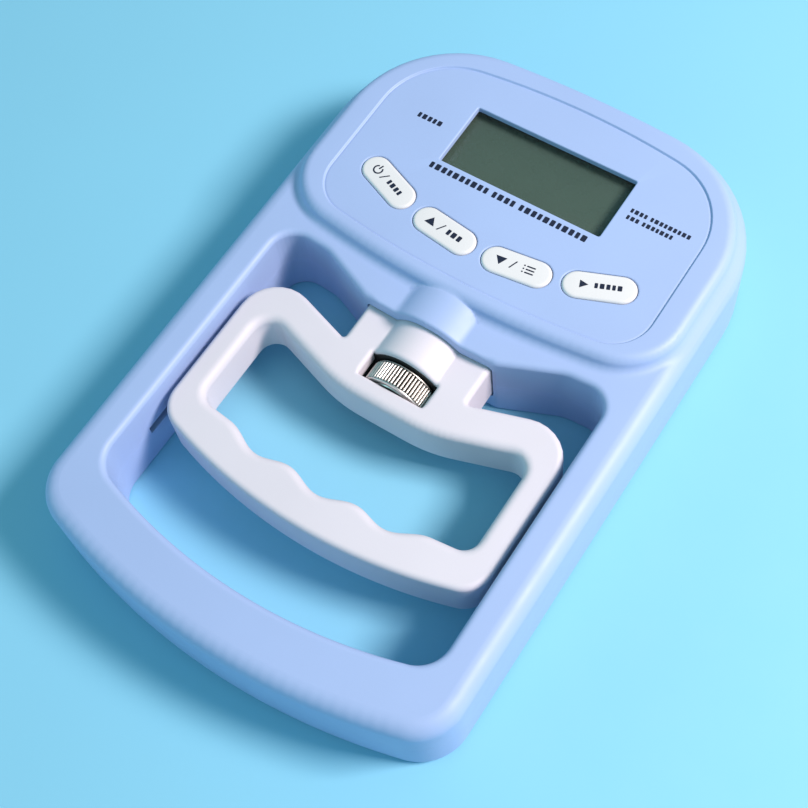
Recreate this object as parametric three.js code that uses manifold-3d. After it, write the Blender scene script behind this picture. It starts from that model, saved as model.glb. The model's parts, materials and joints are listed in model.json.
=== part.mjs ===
// Electronic hand dynamometer, lying on its back.
// Millimetres. X is the width, +Y points to the display end, +Z is up.
// The origin is the centre of the box's base: the back of the case is at z = 0.

import * as THREE from 'three';
import { mergeVertices } from 'three/addons/utils/BufferGeometryUtils.js';
import Module from 'manifold-3d';

const wasm = await Module();
wasm.setup();

// ---------------------------------------------------------------- driving dimensions

const GAP = 0.3; // clearance between pieces that touch or slide
const BELOW = -50; // an end plane below everything
const ABOVE = 80; // an end plane above everything

// Case
const HALF_WIDTH = 62.5;
const HEAD_END = 95.25; // outer edge of the display end on the centre line
const PALM_END = -95.25; // outer edge of the palm bar on the centre line
const HEAD_BOW = 400; // radius of the nearly straight display end
const HEAD_CORNER = 38;
const PALM_BOW = 187;
const PALM_CORNER = 14;
const FRAME_TOP = 26; // top face of the rails and the palm bar
const PAD_TOP = 30; // top of the raised head pad
const PARTING = 12.6; // joint between the front and rear shells
const WALL = 2.4;
const TOP_EDGE = 4.5; // rounding of the case's outer top edge
const BASE_EDGE = 2.5;
const PAD_EDGE = 3;
const PANEL_DEPTH = 0.5; // the panel is sunk below the pad's rim

// Hand opening
const OPENING_HALF = 51.6;
const OPENING_END = -78.9;
const OPENING_BOW = 150.8;
const OPENING_CORNER = 9;
const MOUTH_FACE = 6.4; // the head's lower wall at the neck
const MOUTH_END = 29; // inner end of the channel that the neck slides in
const NECK_GAP = 0.4; // clearance round the neck in its channel

// Handle
const HANDLE_LOW = 6.8;
const HANDLE_HIGH = 21.9;
const HANDLE_HALF = 49.8;
const HANDLE_TOP = -6.3; // upper edge beside the neck
const HANDLE_END = -56.6;
const HANDLE_BOW = 146;
const HANDLE_WALL = 2.2;
const HANDLE_EDGE = 1.6;
const NECK_HALF = 19.4;
const NECK_LOW = -6.5; // where the neck grows out of the handle
const NECK_END = 17.5;
const BUMP_RADIUS = 12;
const HUMP_RADIUS = 15; // hump of the case over the rod
const HUMP_END = 24;
const WINDOW_HALF = 10.1;
const WINDOW_LOW = -12.4;
const WINDOW_HIGH = -3.9;
const SLOT_END = -52.3; // lower end of the guide slots
const SLOT_HIGH = -5.5;
const SLOT_HALF_HEIGHT = 1.5;
const TONGUE_LOW = -41;
const TONGUE_HIGH = -18;

// Rod, wheel and load cell share this axis height
const AXIS_Z = 14.5;
const ROD_RADIUS = 3;
const ROD_LOW = -13.6;
const ROD_HIGH = 53.2;
const STOP_LOW = 51.4; // stop ring on the rod's upper end
const STOP_HIGH = 52.8;
const WHEEL_RADIUS = 9.6;
const WHEEL_LOW = -11.9;
const WHEEL_HIGH = -5.5;
const WHEEL_TEETH = 40;
const CELL_LOW = 30; // load cell beam, along X
const CELL_HIGH = 41;
const CELL_MIDDLE = (CELL_LOW + CELL_HIGH) / 2;
const CELL_HALF = 30;
const CELL_HALF_HEIGHT = 5;

// Display, board and keys
const WINDOW_X = 25.35;
const WINDOW_Y0 = 51.75;
const WINDOW_Y1 = 72.4;
const BOARD_BASE = 20.6;
const BOARD_TOP = 22.2;
const BOARD_HALF = 39;
const BOARD_Y0 = 28.5;
const BOARD_Y1 = 77;
const KEY_ARC_RADIUS = 90.2; // the keys lie on an arc about this centre
const KEY_ARC_CENTRE = 122.1;
const KEY_LENGTH = 20;
const KEY_WIDTH = 8.3;
const KEY_ANGLES = [-21.6, -7.2, 7.2, 21.6]; // degrees, from left to right
const KEY_NAMES = ['button_power', 'button_up', 'button_down', 'button_start'];

// Batteries (AAA)
const CELL_AAA_RADIUS = 5.25;
const CELL_AAA_LENGTH = 44.5;
const CELL_AAA_Z = 8.5;
const CELL_AAA_Y = [71, 82.4];
const BAY_HALF = 27.5;
const BAY_Y0 = 65;
const BAY_Y1 = 88.4;
const BAY_ROOF = 14.3;
const BAY_WALL = 1.5;
const CONTACT_X = [26.4, 27.1]; // contact plates, along X
const COVER_THICK = 1.8;
const COVER_SEAT = 0.9; // the cover's seat reaches this far beyond the bay
const TAB_HALF = 2.7; // half width of the cover's two tabs
const TAB_X = 15;
const TAB_REACH = 2.9;

// Leads, as points along their routes
const LEAD_RADIUS = 0.6;
const CELL_LEAD_ROUTE = [[15, 42.6, 14], [15, 45.5, 12], [10, 52, 9], [9, 57, 12], [9, 58, 18.5]];
const BATTERY_LEAD_ROUTE = [[-31, 76, 10], [-32.5, 74, 14], [-30, 70, 17], [-27, 69, 18], [-27, 68, 18.5]];

// Screws and their bosses, as radii
const CASE_BOSS = 3.2;
const REAR_BOSS = 3.6;
const COUNTERBORE = 3;
const COUNTERBORE_TOP = 3.6;
const BOARD_BOSS = 2.6;
const BEAM_BOSS = 4.5;
const BEAM_BASE = 9.2; // top of the pedestals under the load cell
const HANDLE_BOSS = 2.4;
const CASE_SCREWS = [[44.6, 76.6], [52, 24], [30, -84.6]]; // right side, mirrored
const BOARD_SCREWS = [[35, 52.5], [35, 73.5]];
const HANDLE_SCREWS = [[32, -6.8], [39.5, -45.6]];
const BEAM_SCREW_X = 25;
const GAUGE_X = 15;

// ---------------------------------------------------------------- materials

const finish = (color, roughness, metalness = 0) =>
  new THREE.MeshStandardMaterial({ color, roughness, metalness });

const BLUE = finish(0xa9c0ec, 0.45);
const WHITE = finish(0xe9e9f4, 0.4);
const KEY_WHITE = finish(0xf6f4f5, 0.35);
const NICKEL = finish(0xc9c8c6, 0.25, 1);
const STEEL = finish(0x9a9ca0, 0.35, 1);
const ALUMINIUM = finish(0xb9bcc1, 0.4, 1);
const CLEAR = finish(0xdfe6e6, 0.08);
const DISPLAY = finish(0x57685f, 0.3);
const BLACK_PLASTIC = finish(0x222426, 0.55);
const BOARD_GREEN = finish(0x1f6a3c, 0.5);
const SILICONE = finish(0xc9ccd1, 0.7);
const FOIL = finish(0xb06a2c, 0.5);
const SLEEVE = finish(0x2d4a8a, 0.4);
const LEAD_RED = finish(0xb02020, 0.5);
const LEAD_GREY = finish(0x8a8d92, 0.5);

// ---------------------------------------------------------------- solids

// A closed three.js geometry as a solid.
function solid(geometry) {
  const bare = geometry.clone();
  bare.deleteAttribute('normal');
  bare.deleteAttribute('uv');
  const merged = mergeVertices(bare, 1e-4);
  return new wasm.Manifold(new wasm.Mesh({
    numProp: 3,
    vertProperties: new Float32Array(merged.attributes.position.array),
    triVerts: new Uint32Array(merged.index.array),
  }));
}

// A solid as a named mesh.
function piece(name, shape, material) {
  const { vertProperties, triVerts } = shape.getMesh();
  const geometry = new THREE.BufferGeometry();
  geometry.setAttribute('position', new THREE.BufferAttribute(vertProperties, 3));
  geometry.setIndex(new THREE.BufferAttribute(triVerts, 1));
  geometry.computeVertexNormals();
  const mesh = new THREE.Mesh(geometry, material);
  mesh.name = name;
  return mesh;
}

const join = (shapes) => shapes.reduce((whole, next) => whole.add(next));

// A block between two corners.
function block(x0, x1, y0, y1, z0, z1) {
  const geometry = new THREE.BoxGeometry(x1 - x0, y1 - y0, z1 - z0);
  return solid(geometry.translate((x0 + x1) / 2, (y0 + y1) / 2, (z0 + z1) / 2));
}

// An upright cylinder.
function post(x, y, radius, z0, z1, sides = 12) {
  const geometry = new THREE.CylinderGeometry(radius, radius, z1 - z0, sides).rotateX(Math.PI / 2);
  return solid(geometry.translate(x, y, (z0 + z1) / 2));
}

// A cylinder along Y.
function barrel(x, z, radius, y0, y1, sides = 20) {
  const geometry = new THREE.CylinderGeometry(radius, radius, y1 - y0, sides);
  return solid(geometry.translate(x, (y0 + y1) / 2, z));
}

// A cylinder along X.
function roller(y, z, radius, x0, x1, sides = 16) {
  const geometry = new THREE.CylinderGeometry(radius, radius, x1 - x0, sides).rotateZ(Math.PI / 2);
  return solid(geometry.translate((x0 + x1) / 2, y, z));
}

// An outline extruded from z0 to z1.
function prism(points, z0, z1) {
  const shape = new THREE.Shape(points);
  const geometry = new THREE.ExtrudeGeometry(shape, { depth: z1 - z0, bevelEnabled: false });
  return solid(geometry.translate(0, 0, z0));
}

// The same, with both end edges rounded inside the outline.
function roundedPrism(points, z0, z1, radius, steps = 3) {
  const shape = new THREE.Shape(points);
  const geometry = new THREE.ExtrudeGeometry(shape, {
    depth: z1 - z0 - 2 * radius,
    bevelThickness: radius,
    bevelSize: radius,
    bevelOffset: -radius,
    bevelSegments: steps,
  });
  return solid(geometry.translate(0, 0, z0 + radius));
}

// Rounded at one end only.
const roundedTop = (points, z0, z1, radius, steps) =>
  roundedPrism(points, z0 - 20, z1, radius, steps).subtract(block(-200, 200, -200, 200, z0 - 50, z0));
const roundedBase = (points, z0, z1, radius, steps) =>
  roundedPrism(points, z0, z1 + 20, radius, steps).subtract(block(-200, 200, -200, 200, z1, z1 + 50));

// A solid and its mirror image across the centre plane.
const both = (shape) => shape.add(shape.mirror([1, 0, 0]));

// ---------------------------------------------------------------- outlines

// Points along an arc, from angle a0 to a1 in radians.
function arc(cx, cy, radius, a0, a1, steps) {
  const points = [];
  for (let i = 0; i <= steps; i += 1) {
    const angle = a0 + ((a1 - a0) * i) / steps;
    points.push(new THREE.Vector2(cx + radius * Math.cos(angle), cy + radius * Math.sin(angle)));
  }
  return points;
}

// The right half of an outline, completed by its mirror image.
function mirrored(half) {
  const left = half.filter((p) => p.x > 1e-6).map((p) => new THREE.Vector2(-p.x, p.y));
  return [...half, ...left.reverse()];
}

// A bowed edge and its right-hand corner: end is the edge on the centre line, side is the
// half width, up is +1 for an upper edge and -1 for a lower one. Runs outward.
function bowedCorner(side, end, bow, corner, up, steps = 7) {
  const bowCentre = end - up * bow;
  const cornerX = side - corner;
  const rise = Math.sqrt((bow - corner) ** 2 - cornerX ** 2);
  const cornerY = bowCentre + up * rise;
  const meet = Math.atan2(rise, cornerX);
  const edge = arc(0, bowCentre, bow, (up * Math.PI) / 2, up * meet, 5);
  const turn = arc(cornerX, cornerY, corner, up * meet, 0, steps);
  return [...edge, ...turn.slice(1)];
}

// A rectangle with bowed ends and round corners; inset moves every edge inward.
function bowedRectangle({ side, low, lowBow, lowCorner, high, highBow, highCorner }, inset = 0) {
  const lower = bowedCorner(side - inset, low + inset, lowBow - inset, lowCorner - inset, -1);
  const upper = bowedCorner(side - inset, high - inset, highBow - inset, highCorner - inset, 1);
  return mirrored([...lower, ...upper.reverse()]);
}

// A chain of straight edges with a fillet at each inner point [x, y, radius].
function filleted(chain, steps = 5) {
  const points = [];
  chain.forEach(([x, y, radius], i) => {
    const here = new THREE.Vector2(x, y);
    if (!radius) {
      points.push(here);
      return;
    }
    const back = new THREE.Vector2(chain[i - 1][0], chain[i - 1][1]).sub(here).normalize();
    const ahead = new THREE.Vector2(chain[i + 1][0], chain[i + 1][1]).sub(here).normalize();
    const half = Math.acos(THREE.MathUtils.clamp(back.dot(ahead), -1, 1)) / 2;
    const centre = back.clone().add(ahead).normalize();
    centre.multiplyScalar(radius / Math.sin(half)).add(here);
    const start = back.multiplyScalar(radius / Math.tan(half)).add(here).sub(centre);
    const end = ahead.multiplyScalar(radius / Math.tan(half)).add(here).sub(centre);
    let sweep = end.angle() - start.angle();
    if (sweep > Math.PI) sweep -= 2 * Math.PI;
    if (sweep < -Math.PI) sweep += 2 * Math.PI;
    points.push(...arc(centre.x, centre.y, radius, start.angle(), start.angle() + sweep, steps));
  });
  return points;
}

const FRAME = {
  side: HALF_WIDTH,
  low: PALM_END,
  lowBow: PALM_BOW,
  lowCorner: PALM_CORNER,
  high: HEAD_END,
  highBow: HEAD_BOW,
  highCorner: HEAD_CORNER,
};
const PAD = {
  side: 59,
  low: 16.2,
  lowBow: 300,
  lowCorner: 18,
  high: 92.2,
  highBow: 380,
  highCorner: 34,
};
const PANEL = {
  side: 50.6,
  low: 20.8,
  lowBow: 300,
  lowCorner: 12,
  high: 85.6,
  highBow: 230,
  highCorner: 22,
};

// The hand opening: bowed palm end, straight sides, shallow V against the head.
function opening(outset = 0) {
  const side = OPENING_HALF + outset;
  const lower = bowedCorner(
    side, OPENING_END - outset, OPENING_BOW + outset, OPENING_CORNER + outset, -1,
  );
  const upper = filleted([
    [side, 0, 0],
    [side, 14.2 + outset, 7 + outset],
    [37.5, 13.4 + outset, 14],
    [20.5, MOUTH_FACE + outset, 5],
    [0, MOUTH_FACE - 0.6 + outset, 0],
  ]);
  return mirrored([...lower, ...upper]);
}

// The handle's outer outline without its neck.
function handleOutline(inset = 0) {
  const side = HANDLE_HALF - inset;
  const lower = bowedCorner(side, HANDLE_END + inset, HANDLE_BOW - inset, 9 - inset, -1, 6);
  const upper = filleted([
    [side, -20, 0],
    [side, 4.2 - 1.4 * inset, 11 - inset],
    [NECK_HALF - 3, HANDLE_TOP - inset, 0],
    [0, HANDLE_TOP - inset, 0],
  ]);
  return mirrored([...lower, ...upper]);
}

// Upper edge of the lower handle bar: shallow finger grooves on a slow rise.
function grooveLine(x) {
  const pitch = 20.5;
  const rise = 1.2 * (x / pitch) ** 2;
  return -44.9 + rise - 1.3 * Math.cos((2 * Math.PI * x) / pitch);
}

// The finger hole in the handle; outset moves every edge outward.
function fingerHole(outset = 0) {
  const grooves = [];
  for (let i = 0; i <= 12; i += 1) {
    const x = (31 * i) / 12;
    grooves.push(new THREE.Vector2(x, grooveLine(x) - outset));
  }
  const side = 42.2 + outset;
  const rim = filleted([
    [31, grooveLine(31) - outset, 0],
    [side, -39.6 - outset, 4.5 + outset],
    [side, -9.0 + outset, 4.8 + outset],
    [14.5, -17.9 + outset, 45],
    [0, -18.0 + outset, 0],
  ]);
  return mirrored([...grooves, ...rim.slice(1)]);
}

// A straight-sided pill, centred on the origin, its length along X.
function pill(length, width, steps = 6) {
  const reach = length / 2 - width / 2;
  return [
    ...arc(reach, 0, width / 2, -Math.PI / 2, Math.PI / 2, steps),
    ...arc(-reach, 0, width / 2, Math.PI / 2, (3 * Math.PI) / 2, steps),
  ];
}

// A key's place on the arc, as a matrix.
function keyPlace(degrees) {
  const angle = THREE.MathUtils.degToRad(degrees);
  const x = KEY_ARC_RADIUS * Math.sin(angle);
  const y = KEY_ARC_CENTRE - KEY_ARC_RADIUS * Math.cos(angle);
  return new THREE.Matrix4().makeRotationZ(angle).setPosition(x, y, 0);
}

const placed = (shape, matrix) => shape.transform(matrix.toArray());

// ---------------------------------------------------------------- shared cuts

// The neck and the bump over the rod, with clearance, from y0 to y1.
function neckRun(clearance, y0, y1) {
  const half = NECK_HALF + clearance;
  const flat = block(-half, half, y0, y1, HANDLE_LOW - clearance, HANDLE_HIGH + clearance);
  return flat.add(barrel(0, AXIS_Z, BUMP_RADIUS + clearance, y0, y1, 32));
}

// The guide slots in both inner rail walls.
function guideSlots() {
  const z0 = PARTING - SLOT_HALF_HEIGHT;
  const z1 = PARTING + SLOT_HALF_HEIGHT;
  return both(block(OPENING_HALF - 2, OPENING_HALF + WALL + 0.2, SLOT_END, SLOT_HIGH, z0, z1));
}

// Everything hollow between the shells, from z0 to z1.
const caseHollow = (z0, z1) =>
  prism(bowedRectangle(FRAME, WALL), z0, z1).subtract(prism(opening(WALL), z0, z1));

// ---------------------------------------------------------------- case

function frontShell() {
  const hump = barrel(0, AXIS_Z, HUMP_RADIUS, MOUTH_FACE + 0.8, HUMP_END, 32);
  let shell = roundedTop(bowedRectangle(FRAME), PARTING, FRAME_TOP, TOP_EDGE, 3);
  shell = shell.subtract(prism(opening(), BELOW, ABOVE));
  shell = shell.add(hump.intersect(block(-30, 30, 0, 60, PARTING + 8, ABOVE)));
  shell = shell.add(roundedTop(bowedRectangle(PAD), FRAME_TOP - 6, PAD_TOP, PAD_EDGE, 2));
  const cuts = [
    caseHollow(BELOW, FRAME_TOP - WALL),
    prism(bowedRectangle(PAD, 3.4), BELOW, PAD_TOP - PANEL_DEPTH - 2.6),
    roundedBase(bowedRectangle(PANEL), PAD_TOP - PANEL_DEPTH, ABOVE, 0.2, 1),
    neckRun(NECK_GAP, -10, MOUTH_END),
    guideSlots(),
    block(-WINDOW_X, WINDOW_X, WINDOW_Y0, WINDOW_Y1, PARTING, ABOVE),
  ];
  KEY_ANGLES.forEach((angle) => {
    const hole = prism(pill(KEY_LENGTH + 0.6, KEY_WIDTH + 0.6), PARTING + 8, ABOVE);
    cuts.push(placed(hole, keyPlace(angle)));
  });
  shell = shell.subtract(join(cuts));
  const bosses = CASE_SCREWS.map(([x, y]) =>
    both(post(x, y, CASE_BOSS, PARTING + GAP, FRAME_TOP - 1)
      .subtract(post(x, y, 1.5, BELOW, FRAME_TOP - 4))));
  const boardBosses = BOARD_SCREWS.map(([x, y]) =>
    both(post(x, y, BOARD_BOSS, BOARD_TOP + GAP, PAD_TOP - 2)
      .subtract(post(x, y, 1.2, BELOW, PAD_TOP - 4))));
  shell = shell.add(join([...bosses, ...boardBosses]));
  return shell.subtract(block(-200, 200, -200, 200, BELOW, PARTING + GAP / 2));
}

const bayMouth = () => block(-BAY_HALF, BAY_HALF, BAY_Y0, BAY_Y1, BELOW, BAY_ROOF);

// Walls and roof of the battery bay, open through the back.
function batteryBay() {
  const half = BAY_HALF + BAY_WALL;
  return block(-half, half, BAY_Y0 - BAY_WALL, BAY_Y1 + BAY_WALL, 1, BAY_ROOF + BAY_WALL)
    .subtract(bayMouth());
}

function rearShell() {
  let shell = roundedBase(bowedRectangle(FRAME), 0, PARTING - GAP / 2, BASE_EDGE, 2);
  const cuts = [
    prism(opening(), BELOW, ABOVE),
    caseHollow(WALL, ABOVE),
    neckRun(NECK_GAP, -10, MOUTH_END),
    guideSlots(),
  ];
  shell = shell.subtract(join(cuts));
  const bosses = CASE_SCREWS.map(([x, y]) => both(post(x, y, REAR_BOSS, 1, PARTING - GAP / 2)));
  const pedestals = both(post(BEAM_SCREW_X, CELL_MIDDLE, BEAM_BOSS, 1, BEAM_BASE));
  shell = join([shell, ...bosses, pedestals, batteryBay()]);
  const holes = CASE_SCREWS.map(([x, y]) =>
    both(post(x, y, 1.7, BELOW, ABOVE).add(post(x, y, COUNTERBORE, BELOW, COUNTERBORE_TOP))));
  const beamHole = both(post(BEAM_SCREW_X, CELL_MIDDLE, 1.5, 3, ABOVE));
  const seat = BAY_HALF + 1;
  const ledge = block(
    -seat, seat, BAY_Y0 - COVER_SEAT, BAY_Y1 + COVER_SEAT, BELOW, COVER_THICK + GAP,
  );
  const reach = TAB_HALF + GAP;
  const tabSlots = both(block(
    TAB_X - reach, TAB_X + reach, BAY_Y0 - TAB_REACH - 0.5, BAY_Y0 + 0.3, COVER_THICK - 0.9, 3.3,
  ));
  return shell.subtract(join([...holes, beamHole, bayMouth(), ledge, tabSlots]));
}

// The cover sits flush in the back and hooks in by two tabs at its lower edge.
function batteryCover() {
  const half = BAY_HALF + 1 - GAP;
  const lap = COVER_SEAT - GAP;
  const plate = block(-half, half, BAY_Y0 - lap, BAY_Y1 + lap, 0, COVER_THICK);
  const tabs = both(block(
    TAB_X - TAB_HALF, TAB_X + TAB_HALF, BAY_Y0 - TAB_REACH, BAY_Y0, COVER_THICK - 0.6, COVER_THICK,
  ));
  const grip = join([-4, 0, 4].map((dx) => roller(BAY_Y1 - 4 + dx / 2, 0, 0.5, -7, 7, 12)));
  const latch = block(-6, 6, BAY_Y1 - 1.8, BAY_Y1 - 0.8, COVER_THICK - 0.5, COVER_THICK + 3);
  return join([plate, tabs, latch]).subtract(grip);
}

// A screw driven from behind: its head's outer face is at z0 and its tip at z1.
function screw(x, y, z0, z1, head, shank) {
  const slot = head * 0.6;
  const thread = post(x, y, shank, z0 + 0.3, z1, 8);
  const cap = post(x, y, head, z0, z0 + head * 0.6, 12);
  const recess = block(x - slot, x + slot, y - 0.3, y + 0.3, z0 - 1, z0 + head * 0.3)
    .add(block(x - 0.3, x + 0.3, y - slot, y + slot, z0 - 1, z0 + head * 0.3));
  return thread.add(cap).subtract(recess);
}

// ---------------------------------------------------------------- display and keys

function displayWindow() {
  const flange = block(-27.8, 27.8, 49.3, 74.9, 25.9, 26.6);
  const x = WINDOW_X - GAP;
  return flange.add(block(-x, x, WINDOW_Y0 + GAP, WINDOW_Y1 - GAP, 26, 28.1));
}

function displayHolder() {
  let holder = block(-28.5, 28.5, 48.6, 75.6, BOARD_TOP + GAP, 25.6);
  holder = holder.subtract(block(-26.8, 26.8, 50.3, 73.9, 23.9, ABOVE));
  holder = holder.subtract(block(-23.5, 23.5, 55, 71, BELOW, ABOVE));
  return holder.subtract(block(-24, 24, 51, 53.5, BELOW, ABOVE));
}

function mainBoard() {
  let board = block(-BOARD_HALF, BOARD_HALF, BOARD_Y0, BOARD_Y1, BOARD_BASE, BOARD_TOP);
  BOARD_SCREWS.forEach(([x, y]) => {
    board = board.subtract(both(post(x, y, 1.5, BELOW, ABOVE)));
  });
  return board;
}

// One sheet of silicone with a dome under each key.
function keySheet() {
  const base = BOARD_TOP + GAP;
  const sheet = block(-BOARD_HALF + 0.5, BOARD_HALF - 0.5, BOARD_Y0 + GAP, 47, base, base + 0.8);
  const domes = KEY_ANGLES.map((angle) => placed(post(0, 0, 3.2, base + 0.4, 24.2), keyPlace(angle)));
  return join([sheet, ...domes]);
}

// A key: crowned pill through the panel, wider flange under it and a post over its dome.
function key(angle) {
  const cap = roundedTop(pill(KEY_LENGTH, KEY_WIDTH), 26, PAD_TOP, 0.9, 2);
  const flange = prism(pill(KEY_LENGTH + 1.6, KEY_WIDTH + 1.6), 25.5, 26.6);
  const stem = post(0, 0, 2.5, 25.1, 26);
  return placed(join([cap, flange, stem]), keyPlace(angle));
}

// ---------------------------------------------------------------- force path

function loadCell() {
  const z0 = AXIS_Z - CELL_HALF_HEIGHT;
  const z1 = AXIS_Z + CELL_HALF_HEIGHT;
  let beam = block(-CELL_HALF, CELL_HALF, CELL_LOW, CELL_HIGH, z0, z1);
  beam = beam.subtract(barrel(0, AXIS_Z, ROD_RADIUS + GAP, 0, 60));
  beam = beam.subtract(both(post(BEAM_SCREW_X, CELL_MIDDLE, 1.7, BELOW, ABOVE)));
  const relief = join([-2, 2].map((dx) => post(GAUGE_X + dx, CELL_MIDDLE, 3.6, BELOW, ABOVE)));
  return beam.subtract(both(relief));
}

// A foil gauge on the beam's upper side, over one relief slot.
const strainGauge = (x) => block(x - 3.5, x + 3.5, CELL_HIGH + GAP, CELL_HIGH + 0.7, 12, 17);

// A screw driven from the front, through the beam into the rear shell's pedestal.
function beamScrew(x) {
  const top = AXIS_Z + CELL_HALF_HEIGHT + GAP;
  const shank = post(x, CELL_MIDDLE, 1.2, 4, top + 0.1);
  return shank.add(post(x, CELL_MIDDLE, 2.6, top, top + 0.6, 16));
}

function thumbwheel() {
  const points = [];
  const half = Math.PI / WHEEL_TEETH;
  for (let i = 0; i < WHEEL_TEETH; i += 1) {
    const angle = 2 * half * i;
    points.push(...arc(0, 0, WHEEL_RADIUS, angle - 0.4 * half, angle + 0.4 * half, 1));
    points.push(arc(0, 0, WHEEL_RADIUS - 0.5, angle + half, angle + 2 * half, 1)[0]);
  }
  const length = WHEEL_HIGH - WHEEL_LOW;
  const shape = new THREE.Shape(points);
  const geometry = new THREE.ExtrudeGeometry(shape, { depth: length, bevelEnabled: false });
  geometry.rotateX(Math.PI / 2).translate(0, WHEEL_HIGH, AXIS_Z);
  const bore = barrel(0, AXIS_Z, ROD_RADIUS + GAP, WHEEL_LOW - 1, WHEEL_HIGH + 1);
  const reach = WHEEL_RADIUS - 1;
  const pinHole = roller((WHEEL_LOW + WHEEL_HIGH) / 2, AXIS_Z, 0.8, -reach, reach, 8);
  return solid(geometry).subtract(bore).subtract(pinHole);
}

// The rod turns with the wheel and screws through the load cell; it is a plain cylinder here.
function threadedRod() {
  const rod = barrel(0, AXIS_Z, ROD_RADIUS, ROD_LOW, ROD_HIGH);
  const pinHole = roller((WHEEL_LOW + WHEEL_HIGH) / 2, AXIS_Z, 0.8, -5, 5, 8);
  return rod.subtract(pinHole);
}

const wheelPin = () => roller((WHEEL_LOW + WHEEL_HIGH) / 2, AXIS_Z, 0.5, -8.2, 8.2, 8);

// A flat ring about the rod, from y0 to y1.
const ring = (outer, inner, y0, y1) =>
  barrel(0, AXIS_Z, outer, y0, y1).subtract(barrel(0, AXIS_Z, inner, y0 - 1, y1 + 1));

// ---------------------------------------------------------------- handle

const HANDLE_SPLIT = HANDLE_LOW + 2; // the back cover is let into the tub to this height

// Everything that both handle pieces leave free for the wheel, the rod and the finger hole.
function handleCuts() {
  const wheelBay = block(-WINDOW_HALF, WINDOW_HALF, WINDOW_LOW, WINDOW_HIGH, BELOW, ABOVE);
  const rodBore = barrel(0, AXIS_Z, ROD_RADIUS + 0.5, -14.4, 30);
  return join([wheelBay, rodBore, prism(fingerHole(), BELOW, ABOVE)]);
}

// The full handle, with rounded edges, before it is hollowed.
function handleBlank() {
  const bar = roundedPrism(handleOutline(), HANDLE_LOW, HANDLE_HIGH, HANDLE_EDGE, 2);
  const neck = neckRun(0, NECK_LOW, NECK_END);
  const tongues = both(block(HANDLE_HALF - 3, OPENING_HALF + 2, TONGUE_LOW, TONGUE_HIGH,
    PARTING - SLOT_HALF_HEIGHT + GAP, PARTING + SLOT_HALF_HEIGHT - GAP));
  return join([bar, neck, tongues]);
}

// The plan of the handle's back cover, set inside the tub's walls.
const coverPlan = (inset) =>
  prism(handleOutline(HANDLE_WALL + inset), BELOW, HANDLE_SPLIT)
    .subtract(prism(fingerHole(HANDLE_WALL + inset), BELOW, ABOVE))
    .subtract(block(-NECK_HALF - 1, NECK_HALF + 1, -16 - inset, 40, BELOW, ABOVE));

function handleFront() {
  const hollow = prism(handleOutline(HANDLE_WALL + 1), HANDLE_LOW - 1, HANDLE_HIGH - HANDLE_WALL)
    .subtract(prism(fingerHole(HANDLE_WALL + 1), BELOW, ABOVE))
    .subtract(block(-NECK_HALF - 2, NECK_HALF + 2, -20, 40, BELOW, ABOVE));
  const bosses = join(HANDLE_SCREWS.map(([x, y]) =>
    both(post(x, y, HANDLE_BOSS, HANDLE_SPLIT + GAP, HANDLE_HIGH - 1))));
  const holes = join(HANDLE_SCREWS.map(([x, y]) => both(post(x, y, 1.2, BELOW, 19))));
  return handleBlank()
    .subtract(handleCuts())
    .subtract(hollow)
    .subtract(coverPlan(-GAP))
    .add(bosses)
    .subtract(holes);
}

function handleRear() {
  const holes = join(HANDLE_SCREWS.map(([x, y]) => both(post(x, y, 1.3, BELOW, ABOVE))));
  const sinks = join(HANDLE_SCREWS.map(([x, y]) => both(post(x, y, 2.2, BELOW, HANDLE_LOW + 1.4))));
  const below = block(-99, 99, -99, 99, BELOW, HANDLE_LOW);
  return coverPlan(0).subtract(join([below, holes, sinks]));
}

// ---------------------------------------------------------------- power

function battery(y, sign) {
  const half = CELL_AAA_LENGTH / 2;
  const can = roller(y, CELL_AAA_Z, CELL_AAA_RADIUS, -half + 0.4, half - 0.8);
  const tip = roller(y, CELL_AAA_Z, 1.9, 0, half, 16);
  const cell = can.add(tip);
  return sign > 0 ? cell : cell.mirror([1, 0, 0]);
}

// A conical contact spring stands in as a stepped cone on its plate.
function springContact(y, sign) {
  const plate = block(...CONTACT_X, y - 4, y + 4, 4, 13);
  const cone = roller(y, CELL_AAA_Z, 3, 24.6, 26.6, 16).add(roller(y, CELL_AAA_Z, 1.8, 22.6, 24.8, 12));
  const whole = plate.add(cone);
  return sign > 0 ? whole : whole.mirror([1, 0, 0]);
}

function flatContact(y, sign) {
  const plate = block(...CONTACT_X, y - 4, y + 4, 4, 13);
  const bump = roller(y, CELL_AAA_Z, 2, 22.7, 26.6, 12);
  const whole = plate.add(bump);
  return sign > 0 ? whole : whole.mirror([1, 0, 0]);
}

// A round lead along a smooth route.
function lead(route, radius) {
  const curve = new THREE.CatmullRomCurve3(route.map(([x, y, z]) => new THREE.Vector3(x, y, z)));
  const section = new THREE.Shape(arc(0, 0, radius, 0, (5 / 3) * Math.PI, 5));
  const options = { steps: 10, extrudePath: curve, bevelEnabled: false };
  return solid(new THREE.ExtrudeGeometry(section, options));
}

// ---------------------------------------------------------------- the object

const dynamometer = new THREE.Group();

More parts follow.
